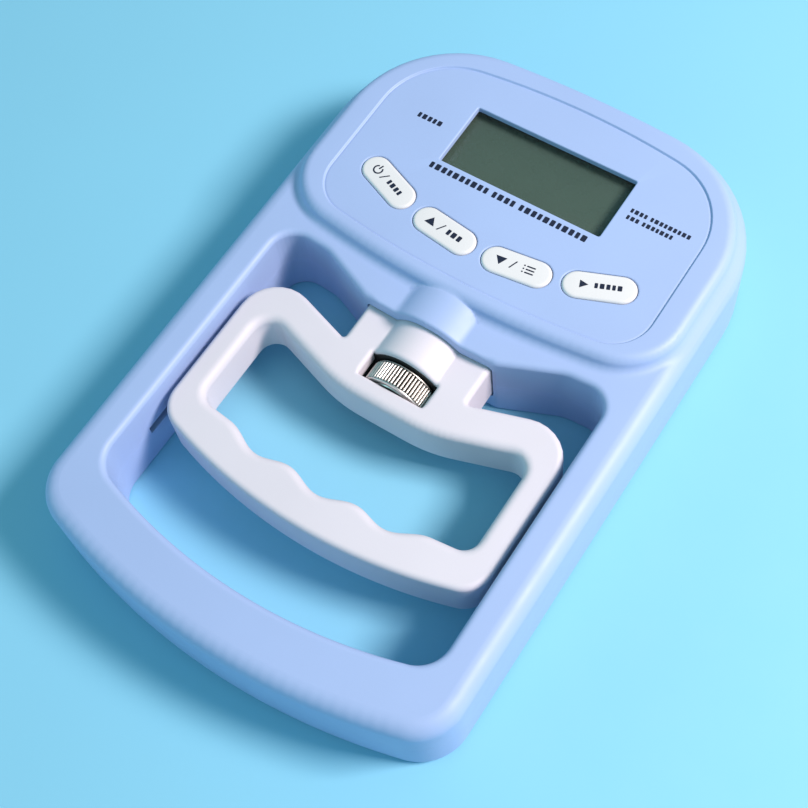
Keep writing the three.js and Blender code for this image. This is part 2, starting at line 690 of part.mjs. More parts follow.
dynamometer.add(
  piece('front_shell', frontShell(), BLUE),
  piece('rear_shell', rearShell(), BLUE),
  piece('battery_cover', batteryCover(), BLUE),
  piece('display_window', displayWindow(), CLEAR),
  piece('display_glass', block(-26.5, 26.5, 50.6, 73.6, 24.2, 25.6), DISPLAY),
  piece('display_holder', displayHolder(), BLACK_PLASTIC),
  piece('contact_strip', block(-23.7, 23.7, 51.3, 53.2, BOARD_TOP + GAP, 23.9), SILICONE),
  piece('main_board', mainBoard(), BOARD_GREEN),
  piece('controller_chip', block(14, 26, 58, 70, 18.9, BOARD_BASE - GAP), BLACK_PLASTIC),
  piece('buzzer', post(-24, 62, 5.5, 17, BOARD_BASE - GAP, 24), BLACK_PLASTIC),
  piece('key_sheet', keySheet(), SILICONE),
  piece('load_cell', loadCell(), ALUMINIUM),
  piece('load_cell_lead', lead(CELL_LEAD_ROUTE, LEAD_RADIUS), LEAD_GREY),
  piece('handle_front', handleFront(), WHITE),
  piece('handle_rear', handleRear(), WHITE),
  piece('thumbwheel', thumbwheel(), NICKEL),
  piece('threaded_rod', threadedRod(), STEEL),
  piece('wheel_pin', wheelPin(), STEEL),
  piece('thrust_washer', ring(6.5, 3.4, WHEEL_HIGH + GAP, WINDOW_HIGH - GAP), STEEL),
  piece('stop_ring', ring(5, ROD_RADIUS + GAP, STOP_LOW, STOP_HIGH), STEEL),
  piece('battery_a', battery(CELL_AAA_Y[0], 1), SLEEVE),
  piece('battery_b', battery(CELL_AAA_Y[1], -1), SLEEVE),
  piece('spring_contact_a', springContact(CELL_AAA_Y[0], -1), STEEL),
  piece('spring_contact_b', springContact(CELL_AAA_Y[1], 1), STEEL),
  piece('flat_contact_a', flatContact(CELL_AAA_Y[0], 1), STEEL),
  piece('flat_contact_b', flatContact(CELL_AAA_Y[1], -1), STEEL),
  piece('battery_lead', lead(BATTERY_LEAD_ROUTE, LEAD_RADIUS), LEAD_RED),
);

KEY_ANGLES.forEach((angle, i) => dynamometer.add(piece(KEY_NAMES[i], key(angle), KEY_WHITE)));

// Repeated fasteners: spots lists the right side, and each has a twin on the left.
function addPairs(name, spots, shapeAt, material) {
  spots.forEach(([x, y], i) => {
    dynamometer.add(piece(`${name}_${2 * i + 1}`, shapeAt(x, y), material));
    dynamometer.add(piece(`${name}_${2 * i + 2}`, shapeAt(-x, y), material));
  });
}

addPairs('case_screw', CASE_SCREWS, (x, y) => screw(x, y, 1.5, 20, 2.6, 1.2), STEEL);
addPairs('board_screw', BOARD_SCREWS, (x, y) => screw(x, y, 18.7, 25.5, 2.2, 0.9), STEEL);
addPairs('handle_screw', HANDLE_SCREWS, (x, y) => screw(x, y, HANDLE_LOW, 17, 1.8, 0.9), STEEL);
addPairs('load_cell_screw', [[BEAM_SCREW_X, 0]], (x) => beamScrew(x), STEEL);
addPairs('strain_gauge', [[GAUGE_X, 0]], (x) => strainGauge(x), FOIL);

export default dynamometer;
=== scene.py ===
import json
import math

import bmesh
import bpy
import numpy as np
from mathutils import Matrix, Vector
from mathutils.geometry import delaunay_2d_cdt


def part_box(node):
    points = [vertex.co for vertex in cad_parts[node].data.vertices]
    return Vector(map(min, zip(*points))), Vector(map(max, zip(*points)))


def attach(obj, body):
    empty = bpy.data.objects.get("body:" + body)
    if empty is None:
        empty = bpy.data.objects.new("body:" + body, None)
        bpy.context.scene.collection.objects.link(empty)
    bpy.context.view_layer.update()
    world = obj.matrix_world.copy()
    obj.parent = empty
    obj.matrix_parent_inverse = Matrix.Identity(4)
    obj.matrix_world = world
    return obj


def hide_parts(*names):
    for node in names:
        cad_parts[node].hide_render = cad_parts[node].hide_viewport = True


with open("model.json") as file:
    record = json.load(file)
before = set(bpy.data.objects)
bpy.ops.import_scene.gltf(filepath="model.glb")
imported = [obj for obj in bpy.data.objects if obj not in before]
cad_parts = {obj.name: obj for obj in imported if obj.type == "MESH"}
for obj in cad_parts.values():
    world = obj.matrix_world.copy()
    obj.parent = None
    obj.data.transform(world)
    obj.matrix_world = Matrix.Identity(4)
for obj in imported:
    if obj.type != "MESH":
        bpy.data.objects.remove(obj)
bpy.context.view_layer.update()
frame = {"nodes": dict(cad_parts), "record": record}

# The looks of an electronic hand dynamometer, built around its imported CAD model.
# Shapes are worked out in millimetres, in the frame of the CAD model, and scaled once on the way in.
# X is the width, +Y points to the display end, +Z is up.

MM = 0.001

# ---- driving dimensions


def box_mm(node):
    """A CAD node's lowest and highest corners, in millimetres."""
    low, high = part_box(node)
    return low / MM, high / MM


SHELL_LOW, SHELL_HIGH = box_mm("front_shell")
LENS_LOW, LENS_HIGH = box_mm("display_window")
GLASS_LOW, GLASS_HIGH = box_mm("display_glass")
WHEEL_BOX_LOW, WHEEL_BOX_HIGH = box_mm("thumbwheel")
ROD_LOW, ROD_HIGH = box_mm("threaded_rod")

HALF_WIDTH = SHELL_HIGH.x
HEAD_END = SHELL_HIGH.y
PALM_END = SHELL_LOW.y
PAD_TOP = SHELL_HIGH.z
FRAME_TOP = PAD_TOP - 4
PARTING = 12.6
SEAM = 0.02  # half the gap between the two shells
SKIN = 1.8  # wall thickness of the shells
TOP_EDGE = 4.5
BASE_EDGE = 2.5
PAD_EDGE = 3.0
PAD_FOOT = 2.5
PANEL_DEPTH = 0.5
PANEL_GROOVE = 0.14
OPENING_EDGE = 1.8
MOUTH_EDGE, MOUTH_FADE = 0.9, 4  # the opening's edge inside the mouth, and the width it changes over
OPENING_BASE_EDGE = 1.0

HANDLE_LOW = 6.8
HANDLE_HIGH = 21.9
HANDLE_HALF = 49.8
HANDLE_EDGE = 1.6
HOLE_EDGE = 2.4
COVER_WALL = 2.2  # width of the rim around the handle's back cover
COVER_DEPTH = 2.0
SHOULDER_START = -20  # the handle's sides are straight below this
NECK_HALF = 19.4
NECK_END = 17.5
MOUTH_GAP = 0.4
MOUTH_HALF = NECK_HALF + MOUTH_GAP
MOUTH_CORNER = 1.4
BUMP_RADIUS = 12.0  # the handle's bump over the rod
HUMP_RADIUS = 15.0  # the case's hump over that bump
HUMP_FALL = 1.4  # how far the hump comes down towards the panel
HUMP_FALL_START, HUMP_FALL_LENGTH, HUMP_END = 15, 7, 24  # along Y
SLOT_LOW, SLOT_HIGH = -52.3, -5.5  # the guide slots, along Y
SLOT_HALF_HEIGHT = 1.5
TONGUE_LOW, TONGUE_HIGH = -41.0, -18.0
TONGUE_REACH = 53.6
OPENING_HALF = 51.6
BAY_SIDE, BAY_START, BAY_END = 10.1, -12.4, -4.8  # the wheel bay's half width and its two ends along Y
BAY_EDGE = 0.75  # rounding of the wheel bay's lower edge
BUMP_EDGE = 1.2  # rounding of its other edges

AXIS_Z = (WHEEL_BOX_LOW.z + WHEEL_BOX_HIGH.z) / 2
WHEEL_RADIUS = (WHEEL_BOX_HIGH.z - WHEEL_BOX_LOW.z) / 2
WHEEL_TEETH = 60
KNURL = 0.5
RIM = 0.35  # width of the wheel's plain rims
ROD_RADIUS = ROD_HIGH.x
ROD_PITCH = 1.0

FLANGE, FAR_FLANGE = 2.45, 2.5  # the lens's hidden rim, and its far side
WINDOW_HALF = LENS_HIGH.x - FLANGE
WINDOW_Y = (LENS_LOW.y + FLANGE, LENS_HIGH.y - FAR_FLANGE)
LIP = 0.35  # rounding of the small openings' edges

KEY_ARC_RADIUS = 90.2
KEY_ARC_CENTRE = 122.1
KEY_ANGLES = {"button_power": -21.6, "button_up": -7.2, "button_down": 7.2, "button_start": 21.6}
KEY_LENGTH = 20.0
KEY_WIDTH = 8.3
KEY_GAP = 0.16
KEY_TOP = PAD_TOP - 0.06
KEY_BASE = 25.5
KEY_WAIST = 27.5  # height of the extra row of points on a key's side
KEY_EDGE = 0.8
KEY_CROWN, KEY_CROWN_WIDTH = 0.26, 7.4  # rise of a key's middle, and the width it rises over
INK = 0.025  # thickness of the printing

BAY_HALF, BAY_LOW, BAY_HIGH, BAY_ROOF = 27.5, 65.0, 88.4, 14.3
COVER_GAP = 0.25
COVER_THICK = 1.8
CASE_SCREWS = [(44.6, 76.6), (52.0, 24.0), (30.0, -84.6)]
HANDLE_SCREWS = [(32.0, -6.8), (39.5, -45.6)]
COUNTERBORE, COUNTERBORE_DEPTH = 3.0, 3.6
SINK = 2.2  # radius of the holes over the handle's screws

FINE = 2.5  # longest step along an outline
RINGS = 7  # lines drawn across a rounded edge
LIP_RINGS = 3  # and across a small one

# ---- outlines


def arc(cx, cy, radius, start, end, steps):
    """Points along an arc, angles in radians."""
    angles = np.linspace(start, end, steps + 1)
    return [(cx + radius * math.cos(a), cy + radius * math.sin(a)) for a in angles]


def mirrored(half):
    """An outline from its right half, which runs from the lower to the upper end of the centre line."""
    left = [(-x, y) for x, y in half if x > 1e-6]
    return np.array([*half, *reversed(left)])


def bowed_corner(side, end, bow, corner, up, steps=14):
    """A bowed edge and its right-hand corner, running outward; up is 1 for an upper edge."""
    centre = end - up * bow
    corner_x = side - corner
    rise = math.sqrt((bow - corner) ** 2 - corner_x**2)
    meet = math.atan2(rise, corner_x)
    edge = arc(0, centre, bow, up * math.pi / 2, up * meet, 16)
    turn = arc(corner_x, centre + up * rise, corner, up * meet, 0, steps)
    return [*edge, *turn[1:]]


def bowed_rectangle(side, lower, upper):
    """A rectangle with bowed ends, each given as its place, the bow's radius and the corners' radius."""
    return mirrored([*bowed_corner(side, *lower, -1), *reversed(bowed_corner(side, *upper, 1))])


def filleted(chain, steps=8):
    """A chain of straight edges with a fillet at each inner point (x, y, radius)."""
    points = []
    for i, (x, y, radius) in enumerate(chain):
        here = Vector((x, y))
        if not radius:
            points.append((x, y))
            continue
        back = (Vector(chain[i - 1][:2]) - here).normalized()
        ahead = (Vector(chain[i + 1][:2]) - here).normalized()
        half = math.acos(max(-1, min(1, back.dot(ahead)))) / 2
        centre = here + (back + ahead).normalized() * (radius / math.sin(half))
        start = here + back * (radius / math.tan(half)) - centre
        end = here + ahead * (radius / math.tan(half)) - centre
        first = math.atan2(start.y, start.x)
        sweep = (math.atan2(end.y, end.x) - first + math.pi) % (2 * math.pi) - math.pi
        points += arc(centre.x, centre.y, radius, first, first + sweep, steps)
    return points


def rounded_box(x0, x1, y0, y1, radius, steps=5):
    """A rectangle with round corners, counter-clockwise."""
    corners = [(x1, y0, -0.5), (x1, y1, 0), (x0, y1, 0.5), (x0, y0, 1)]
    points = []
    for x, y, turn in corners:
        cx = x - math.copysign(radius, x - (x0 + x1) / 2)
        cy = y - math.copysign(radius, y - (y0 + y1) / 2)
        points += arc(cx, cy, radius, turn * math.pi, (turn + 0.5) * math.pi, steps)
    return np.array(points)


def circle(cx, cy, radius, steps=40):
    """A full circle, counter-clockwise."""
    return np.array(arc(cx, cy, radius, 0, 2 * math.pi, steps)[:-1])


def pill(length, width, steps=14):
    """A straight-sided pill centred on the origin, its length along X."""
    reach = (length - width) / 2
    right = arc(reach, 0, width / 2, -math.pi / 2, math.pi / 2, steps)
    left = arc(-reach, 0, width / 2, math.pi / 2, 3 * math.pi / 2, steps)
    return np.array([*right, *left])


def key_place(points, degrees):
    """Points drawn about a key's own centre, moved to the key's place on the arc."""
    angle = math.radians(degrees)
    turn = np.array([[math.cos(angle), math.sin(angle)], [-math.sin(angle), math.cos(angle)]])
    x = KEY_ARC_RADIUS * math.sin(angle)
    y = KEY_ARC_CENTRE - KEY_ARC_RADIUS * math.cos(angle)
    return np.asarray(points) @ turn + (x, y)


def groove_line(x):
    """Upper edge of the handle's lower bar: shallow finger grooves on a slow rise."""
    pitch = 20.5
    return -44.9 + 1.2 * (x / pitch) ** 2 - 1.3 * math.cos(2 * math.pi * x / pitch)


def opening_outline():
    """The hand opening: bowed palm end, straight sides, shallow V against the head."""
    side = OPENING_HALF
    lower = bowed_corner(side, -78.9, 150.8, 9, -1)
    upper = filleted([(side, 0, 0), (side, 14.2, 7), (37.5, 13.4, 14), (20.5, 6.4, 5), (0, 5.8, 0)])
    return mirrored([*lower, *upper])


def handle_outline(inset=0.0, neck=True):
    """The handle's outer outline, with its neck or cut off straight below it."""
    side = HANDLE_HALF - inset
    lower = bowed_corner(side, -56.6 + inset, 146 - inset, 9 - inset, -1)
    shoulder = [(side, SHOULDER_START, 0), (side, 4.2 - 1.4 * inset, 11 - inset)]
    if neck:
        end = [(NECK_HALF, -5.36, 0.8), (NECK_HALF, NECK_END, 0), (0, NECK_END, 0)]
    else:
        end = [(NECK_HALF - 3, -6.3 - inset, 0), (0, -6.3 - inset, 0)]
    return mirrored([*lower, *filleted([*shoulder, *end])])


def finger_hole(outset=0.0):
    """The finger hole in the handle; outset moves every edge outward."""
    grooves = [(x, groove_line(x) - outset) for x in np.linspace(0, 31, 32)]
    side = 42.2 + outset
    rim = filleted([
        (31, groove_line(31) - outset, 0),
        (side, -39.6 - outset, 4.5 + outset),
        (side, -9.0 + outset, 4.8 + outset),
        (14.5, -17.9 + outset, 45),
        (0, -18.0 + outset, 0),
    ])
    return mirrored([*grooves, *rim[1:]])


def resampled(loop, step=FINE):
    """The loop with every side split into pieces no longer than step."""
    points = []
    for here, there in zip(loop, np.roll(loop, -1, axis=0)):
        count = max(1, math.ceil(np.linalg.norm(there - here) / step))
        points += [here + (there - here) * k / count for k in range(count)]
    return np.array(points)


def cut_at(loop, axis, value):
    """The loop with a point added wherever it crosses a coordinate value."""
    points = []
    for here, there in zip(loop, np.roll(loop, -1, axis=0)):
        points.append(here)
        before, after = here[axis] - value, there[axis] - value
        if before * after < 0 and min(abs(before), abs(after)) > 1e-3:
            points.append(here + (there - here) * before / (before - after))
    return np.array(points)


def offset(loop, distance):
    """The counter-clockwise loop moved outward by distance, or inward where it is negative."""
    sides = np.roll(loop, -1, axis=0) - loop
    normals = np.stack([sides[:, 1], -sides[:, 0]], 1) / np.linalg.norm(sides, axis=1)[:, None]
    before = np.roll(normals, 1, axis=0)
    spread = 1 + (normals * before).sum(1)
    return loop + distance * (normals + before) / spread[:, None]


def grid_points(xs, ys):
    """Every pair of an x and a y."""
    x, y = np.meshgrid(xs, ys)
    return np.stack([x.ravel(), y.ravel()], 1)


def both_sides(places):
    """Each place and its mirror image across the centre line."""
    return [(side * x, y) for x, y in places for side in (1, -1)]


def inside(points, loop):
    """Whether each point lies in the loop."""
    x, y = points[:, 0:1], points[:, 1:2]
    x0, y0 = loop.T
    x1, y1 = np.roll(loop, -1, axis=0).T
    rise = np.where(y1 == y0, 1e-12, y1 - y0)
    crosses = ((y0 > y) != (y1 > y)) & (x < x0 + (y - y0) * (x1 - x0) / rise)
    return crosses.sum(1) % 2 == 1


def depth(points, loop):
    """Each point's distance from the loop, positive inside it."""
    sides = np.roll(loop, -1, axis=0) - loop
    length = (sides**2).sum(1)
    nearest = np.empty(len(points))
    for first in range(0, len(points), 2000):
        part = points[first:first + 2000, None] - loop
        along = np.clip((part * sides).sum(2) / length, 0, 1)
        gap = part - along[..., None] * sides
        nearest[first:first + 2000] = np.sqrt((gap**2).sum(2).min(1))
    return np.where(inside(points, loop), nearest, -nearest)


# ---- height profiles


def rounding(distance, radius):
    """How far a rounded edge has dropped at this distance from it."""
    reach = radius - np.clip(distance, 0, radius)
    return radius - np.sqrt(radius**2 - reach**2)


def edge_rings(loop, radius, into=1, count=RINGS):
    """Lines across a rounded edge, equally spaced along its arc, and one just beyond it."""
    steps = [radius * (1 - math.cos(math.pi / 2 * k / count)) for k in range(1, count + 1)]
    return [offset(loop, into * step) for step in [*steps, radius + 0.3]]


def lipped(z, points, loops, up):
    """The heights z with the loops' edges rounded; up is 1 for an upper surface and -1 for a lower one."""
    for loop in loops:
        z = z - up * rounding(-depth(points, loop), LIP)
    return z


def lip_rings(loops):
    """Lines across the rounded edges of the loops."""
    return [ring for loop in loops for ring in edge_rings(loop, LIP, 1, LIP_RINGS)]


def smooth_max(a, b, width):
    """The greater of a and b, with the crease between them softened over width."""
    near = np.maximum(width - np.abs(a - b), 0) / width
    return np.maximum(a, b) + near**2 * width / 4


def smooth_step(t):
    """0 below 0, 1 above 1, and smooth between."""
    t = np.clip(t, 0, 1)
    return t * t * (3 - 2 * t)


def cylinder_rise(x, radius):
    """How far a cylinder about the rod's axis rises above it."""
    return np.sqrt(np.maximum(radius**2 - x**2, 0))


# ---- meshes


class Shape:
    """Vertices in millimetres and faces, gathered before they become one Blender mesh."""

    def __init__(self):
        """Starts empty."""
        self.points = []
        self.faces = []

    def add(self, points, faces):
        """Adds points, and faces that count from the first of them."""
        base = len(self.points)
        self.points += [tuple(map(float, p)) for p in points]
        self.faces += [[base + i for i in face] for face in faces]

    def sheet(self, outer, holes, height, rings=(), extra=()):
        """A surface between outer and its holes; height is a number, or a function of points."""
        flat, edges = [], []
        for loop in [outer, *holes, *rings]:
            base, count = len(flat), len(loop)
            flat += [Vector(p) for p in loop]
            edges += [(base + i, base + (i + 1) % count) for i in range(count)]
        flat += [Vector(p) for p in extra]
        found = delaunay_2d_cdt(flat, edges, [], 0, 1e-5, False)
        plan = np.array([tuple(p) for p in found[0]])
        faces = np.array([list(face) for face in found[2]])
        middles = plan[faces].mean(1)
        keep = inside(middles, outer)
        for hole in holes:
            keep &= ~inside(middles, hole)
        used = np.unique(faces[keep])
        place = {old: new for new, old in enumerate(used)}
        z = height(plan[used]) if callable(height) else height
        points = np.column_stack([plan[used], np.broadcast_to(z, len(used))])
        self.add(points, [[place[i] for i in face] for face in faces[keep]])

    def curtain(self, loop, first, last, levels=()):
        """Walls along the loop between two heights a point, split at the shared levels."""
        count = len(loop)
        first, last = (ends if np.ndim(ends) == 2 else pairs(ends, count) for ends in (first, last))
        for i in range(count):
            a, b = loop[i], loop[(i + 1) % count]
            low, high = sorted([tuple(first[i]), tuple(last[i])])
            between = [z for z in levels if max(low) + 1e-3 < z < min(high) - 1e-3]
            rows = [low, *[(z, z) for z in sorted(between)], high]
            points = [(*a, row[0]) for row in rows] + [(*b, row[1]) for row in rows]
            size = len(rows)
            self.add(points, [[k, size + k, size + k + 1, k + 1] for k in range(size - 1)])

    def capped(self, loop, start, end, holes=()):
        """Walls along the loop from the heights start to the height end, and a flat face there."""
        self.curtain(loop, start, end)
        self.sheet(loop, holes, end)

    def grid(self, rows, closed=True):
        """Quads between rows of equally many points; closed joins each row's ends."""
        width = len(rows[0])
        span = width if closed else width - 1
        faces = []
        for r in range(len(rows) - 1):
            for i in range(span):
                j = (i + 1) % width
                faces.append([r * width + i, r * width + j, (r + 1) * width + j, (r + 1) * width + i])
        self.add([p for row in rows for p in row], faces)

    def slab(self, outer, holes, low, high, edge):
        """A closed plate between the heights low and high, its edges rounded."""

        def top(points):
            """The upper face."""
            return high - rounding(depth(points, outer), edge)

        def base(points):
            """The lower face."""
            return low + rounding(depth(points, outer), edge)

        for height in (top, base):
            self.sheet(outer, holes, height, edge_rings(outer, edge, -1, LIP_RINGS))
        self.curtain(outer, low + edge, high - edge)
        for hole in holes:
            self.curtain(hole, base(hole), top(hole))


def pairs(values, count):
    """Heights at both ends of each side of a loop, from a height for each point."""
    values = np.broadcast_to(values, count)
    return np.stack([values, np.roll(values, -1)], 1)


def add_object(name, data):
    """A new object in the scene."""
    made = bpy.data.objects.new(name, data)
    bpy.context.scene.collection.objects.link(made)
    return made


def finished(name, shape, slot, body, nodes, skin=0.0, sharp=38, turn=None, material=None):
    """The shape as a Blender piece that stands for CAD nodes and rides on a body."""
    mesh = bpy.data.meshes.new(name)
    work = bmesh.new()
    verts = [work.verts.new(Vector(p) * MM) for p in shape.points]
    for face in shape.faces:
        if len(set(face)) == len(face):
            work.faces.new([verts[i] for i in face])
    bmesh.ops.remove_doubles(work, verts=work.verts, dist=0.002 * MM)
    bmesh.ops.dissolve_degenerate(work, dist=0.0005 * MM, edges=work.edges)
    bmesh.ops.recalc_face_normals(work, faces=work.faces)
    if skin:
        outward = sum(f.normal.z * f.calc_area() * (1 if skin > 0 else -1) for f in work.faces)
        if outward < 0:
            bmesh.ops.reverse_faces(work, faces=work.faces)
    if turn is not None:
        bmesh.ops.transform(work, matrix=turn, verts=work.verts)
    work.to_mesh(mesh)
    work.free()
    piece = add_object(name, mesh)
    if skin:
        solidify = piece.modifiers.new("wall", "SOLIDIFY")
        solidify.thickness = abs(skin) * MM
        solidify.offset = -1
        walled = piece.evaluated_get(bpy.context.evaluated_depsgraph_get())
        mesh = bpy.data.meshes.new_from_object(walled)
        piece.modifiers.remove(solidify)
        piece.data = mesh
    mesh.shade_smooth()
    mesh.set_sharp_from_angle(angle=math.radians(sharp))
    normals = piece.modifiers.new("normals", "WEIGHTED_NORMAL")
    normals.keep_sharp = True
    mesh.materials.append(material or MATERIALS[slot])
    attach(piece, body)
    if nodes:
        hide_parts(*nodes)


def rounded_block(shape, x, y, z, radius):
    """Adds a block between pairs of limits, its upright and upper edges rounded."""
    outline = rounded_box(*x, *y, radius, 3)
    shape.slab(outline, [], z[0], z[1], radius)


# ---- materials


NOISE_SPAN = (0.3, 0.7)  # the middle of a noise texture's values
SPECKS = (0.35, 0.6)  # a narrower span, which gives harder patches
ACRYLIC_IOR = 1.49


def shade(colour, factor):
    """A colour made lighter or darker."""
    return tuple(min(1.0, c * factor) for c in colour)


def grey(value):
    """A colour with three equal parts."""
    return (value,) * 3


class Nodes:
    """A material's node tree, with short names for what is built over and over."""

    def __init__(self, name):
        """Starts the material."""
        self.material = bpy.data.materials.new(name)
        self.material.use_nodes = True
        self.tree = self.material.node_tree
        self.shader = self.tree.nodes["Principled BSDF"]
        self.place = self.new("ShaderNodeTexCoord").outputs["Object"]

    def new(self, kind, **settings):
        """A new node with its settings."""
        node = self.tree.nodes.new(kind)
        for key, value in settings.items():
            setattr(node, key, value)
        return node

    def join(self, target, value):
        """Links an input to a socket, or sets it to a number, a vector or a colour."""
        if isinstance(value, bpy.types.NodeSocket):
            self.tree.links.new(value, target)
        else:
            target.default_value = (*value, 1) if target.type == "RGBA" else value

    def feed(self, node, **values):
        """Joins values to the node's inputs, which are named with _ for a space."""
        for key, value in values.items():
            name = key.replace("_", " ")
            self.join(next(s for s in node.inputs if s.name == name and s.enabled), value)
        return node

    def set(self, **values):
        """Joins values to the shader."""
        self.feed(self.shader, **values)

    def math(self, operation, *values):
        """A calculation on sockets and numbers."""
        node = self.new("ShaderNodeMath", operation=operation)
        for target, value in zip(node.inputs, values):
            self.join(target, value)
        return node.outputs["Value"]

    def noise(self, scale, detail, stretch=None):
        """Noise with this many cells a metre, stretched along the axes where given."""
        place = self.place
        if stretch:
            place = self.feed(self.new("ShaderNodeMapping"), Vector=place, Scale=stretch).outputs["Vector"]
        texture = self.new("ShaderNodeTexNoise")
        return self.feed(texture, Vector=place, Scale=scale, Detail=detail).outputs["Fac"]

    def coordinate(self, axis):
        """The place along an axis, in metres."""
        return self.feed(self.new("ShaderNodeSeparateXYZ"), Vector=self.place).outputs[axis]

    def away(self, axis, middle=0.0):
        """Distance from the plane that crosses an axis at middle millimetres."""
        return self.math("ABSOLUTE", self.math("SUBTRACT", self.coordinate(axis), middle * MM))

    def remap(self, source, start, end, low=0.0, high=1.0):
        """The source's range from start to end turned into another."""
        node = self.new("ShaderNodeMapRange")
        self.feed(node, Value=source, From_Min=start, From_Max=end, To_Min=low, To_Max=high)
        return node.outputs["Result"]

    def ramp(self, source, stops):
        """A colour ramp with stops of (position, colour)."""
        ramp = self.new("ShaderNodeValToRGB")
        for i, (position, colour) in enumerate(stops):
            element = ramp.color_ramp.elements[i] if i < 2 else ramp.color_ramp.elements.new(position)
            element.position = position
            element.color = (*colour, 1)
        return self.feed(ramp, Fac=source).outputs["Color"]

    def mix(self, factor, a, b, blend="MIX"):
        """Two colours mixed."""
        mixer = self.new("ShaderNodeMix", data_type="RGBA", blend_type=blend)
        return next(s for s in self.feed(mixer, Factor=factor, A=a, B=b).outputs if s.enabled)

    def drift(self, colour, low, high, scale, detail, span=NOISE_SPAN, stretch=None):
        """The colour wandering between two shades of itself."""
        stops = [(place, shade(colour, factor)) for place, factor in zip(span, (low, high))]
        return self.ramp(self.noise(scale, detail, stretch), stops)

    def stained(self, share, colour, low, scale, detail, span=NOISE_SPAN, stretch=None):
        """The colour dulled in patches, to low times itself where share is 1."""
        return self.mix(share, colour, self.drift(grey(1), low, 1, scale, detail, span, stretch), "MULTIPLY")

    def roughness(self, low, high, scale, detail, stretch=None):
        """Roughness wandering between two values."""
        self.set(Roughness=self.remap(self.noise(scale, detail, stretch), *NOISE_SPAN, low, high))

    def bump(self, source, strength, distance):
        """Relief on the surface; distance in millimetres. Each call builds on the one before."""
        bump = self.feed(self.new("ShaderNodeBump"), Height=source, Strength=strength, Distance=distance * MM)
        before = self.shader.inputs["Normal"].links
        if before:
            self.feed(bump, Normal=before[0].from_socket)
        self.set(Normal=bump.outputs["Normal"])


def moulded_plastic(name, colour, roughness, worn=1.06, grain=0.02):
    """Satin moulded plastic: fine spark-eroded grain, slow colour drift and rubbed edges."""
    m = Nodes(name)
    body = m.stained(0.7, m.drift(colour, 0.975, 1.02, 28, 2), 0.97, 5200, 1, SPECKS)
    edge = m.ramp(m.new("ShaderNodeNewGeometry").outputs["Pointiness"], [(0.51, grey(0)), (0.57, grey(1))])
    rubbed = m.stained(0.5, edge, 0, 240, 2, SPECKS)
    m.set(Base_Color=m.mix(rubbed, body, shade(colour, worn)), IOR=ACRYLIC_IOR)
    m.roughness(roughness - 0.03, roughness + 0.03, 160, 4)
    m.bump(m.noise(4200, 2), 0.35, grain)
    m.bump(m.noise(90, 2), 0.1, 0.025)
    return m.material


def plated_metal(name, colour, roughness, lines):
    """Plated or turned metal: fine lines across the stretch axis and a slightly dulled surface."""
    m = Nodes(name)
    m.set(Base_Color=m.drift(colour, 0.86, 1, 300, 3), Metallic=1.0)
    m.roughness(0.75 * roughness, 1.3 * roughness, 900, 3, lines)
    m.bump(m.noise(1500, 2, lines), 0.25, 0.02)
    return m.material


def knurled_nickel():
    """Bright nickel with painted shade that darkens the grooves of the knurl."""
    m = Nodes("nickel_plate_painted_groove_shade")
    centre = (0, 0, -AXIS_Z * MM)
    around = m.feed(m.new("ShaderNodeMapping"), Vector=m.place, Location=centre, Scale=(1, 0, 1))
    radius = m.feed(m.new("ShaderNodeVectorMath", operation="LENGTH"), Vector=around.outputs["Vector"])
    # Painted shade: near black at the knurl's roots, rising to the nickel's own colour at its crests; the
    # plain rims keep that colour.
    rise = m.remap(radius.outputs["Value"], (WHEEL_RADIUS - KNURL) * MM, WHEEL_RADIUS * MM)
    low, high = WHEEL_BOX_LOW.y, WHEEL_BOX_HIGH.y
    end = m.math("GREATER_THAN", m.away("Y", (low + high) / 2), ((high - low) / 2 - RIM) * MM)
    painted_shade_tone = m.ramp(m.math("MAXIMUM", rise, end), [(0.15, grey(0.04)), (0.8, (0.86, 0.83, 0.79))])
    m.set(Base_Color=m.stained(1.0, painted_shade_tone, 0.8, 700, 3), Metallic=1.0)
    m.roughness(0.32, 0.42, 900, 3)
    m.bump(m.noise(1500, 2), 0.05, 0.02)
    return m.material


def rubber(name, colour):
    """Soft matte rubber or cable sleeve with a dusty bloom."""
    m = Nodes(name)
    m.set(Base_Color=m.drift(colour, 0.88, 1.05, 700, 4))
    m.roughness(0.6, 0.8, 400, 3)
    m.bump(m.noise(2600, 2), 0.3, 0.02)
    return m.material


def circuit_board():
    """Solder mask with tracks under it."""
    m = Nodes("solder_mask")
    brick = m.feed(m.new("ShaderNodeTexBrick", offset=0.37), Vector=m.place, Scale=260, Mortar_Size=0.06)
    tracks = m.mix(brick.outputs["Fac"], (0.012, 0.13, 0.05), (0.02, 0.2, 0.08))
    m.set(Base_Color=m.stained(0.4, tracks, 0.6, 120, 4, (0.4, 0.6)))
    m.roughness(0.3, 0.45, 300, 2)
    m.bump(brick.outputs["Fac"], 0.3, 0.03)
    return m.material


def battery_sleeve():
    """Printed sleeve: a broad band of colour between silver ends."""
    m = Nodes("battery_sleeve")
    bands = m.ramp(m.away("X"), [(0.0125, (0.03, 0.07, 0.25)), (0.0128, (0.62, 0.62, 0.64))])
    m.set(Base_Color=m.stained(0.3, bands, 0.8, 500, 3), Metallic=0.4)
    m.roughness(0.25, 0.4, 200, 2)
    m.bump(m.noise(800, 2), 0.2, 0.02)
    return m.material


def foil_gauge():
    """Copper-coloured foil grid on its film."""
    m = Nodes("gauge_foil")
    wave = m.new("ShaderNodeTexWave", wave_type="BANDS", bands_direction="Z")
    lines = m.feed(wave, Vector=m.place, Scale=500).outputs["Fac"]
    grid = m.ramp(lines, [(0.4, (0.35, 0.12, 0.03)), (0.6, (0.8, 0.42, 0.18))])
    m.set(Base_Color=m.stained(0.3, grid, 0.8, 900, 2), Metallic=0.6)
    m.roughness(0.35, 0.5, 600, 2)
    return m.material


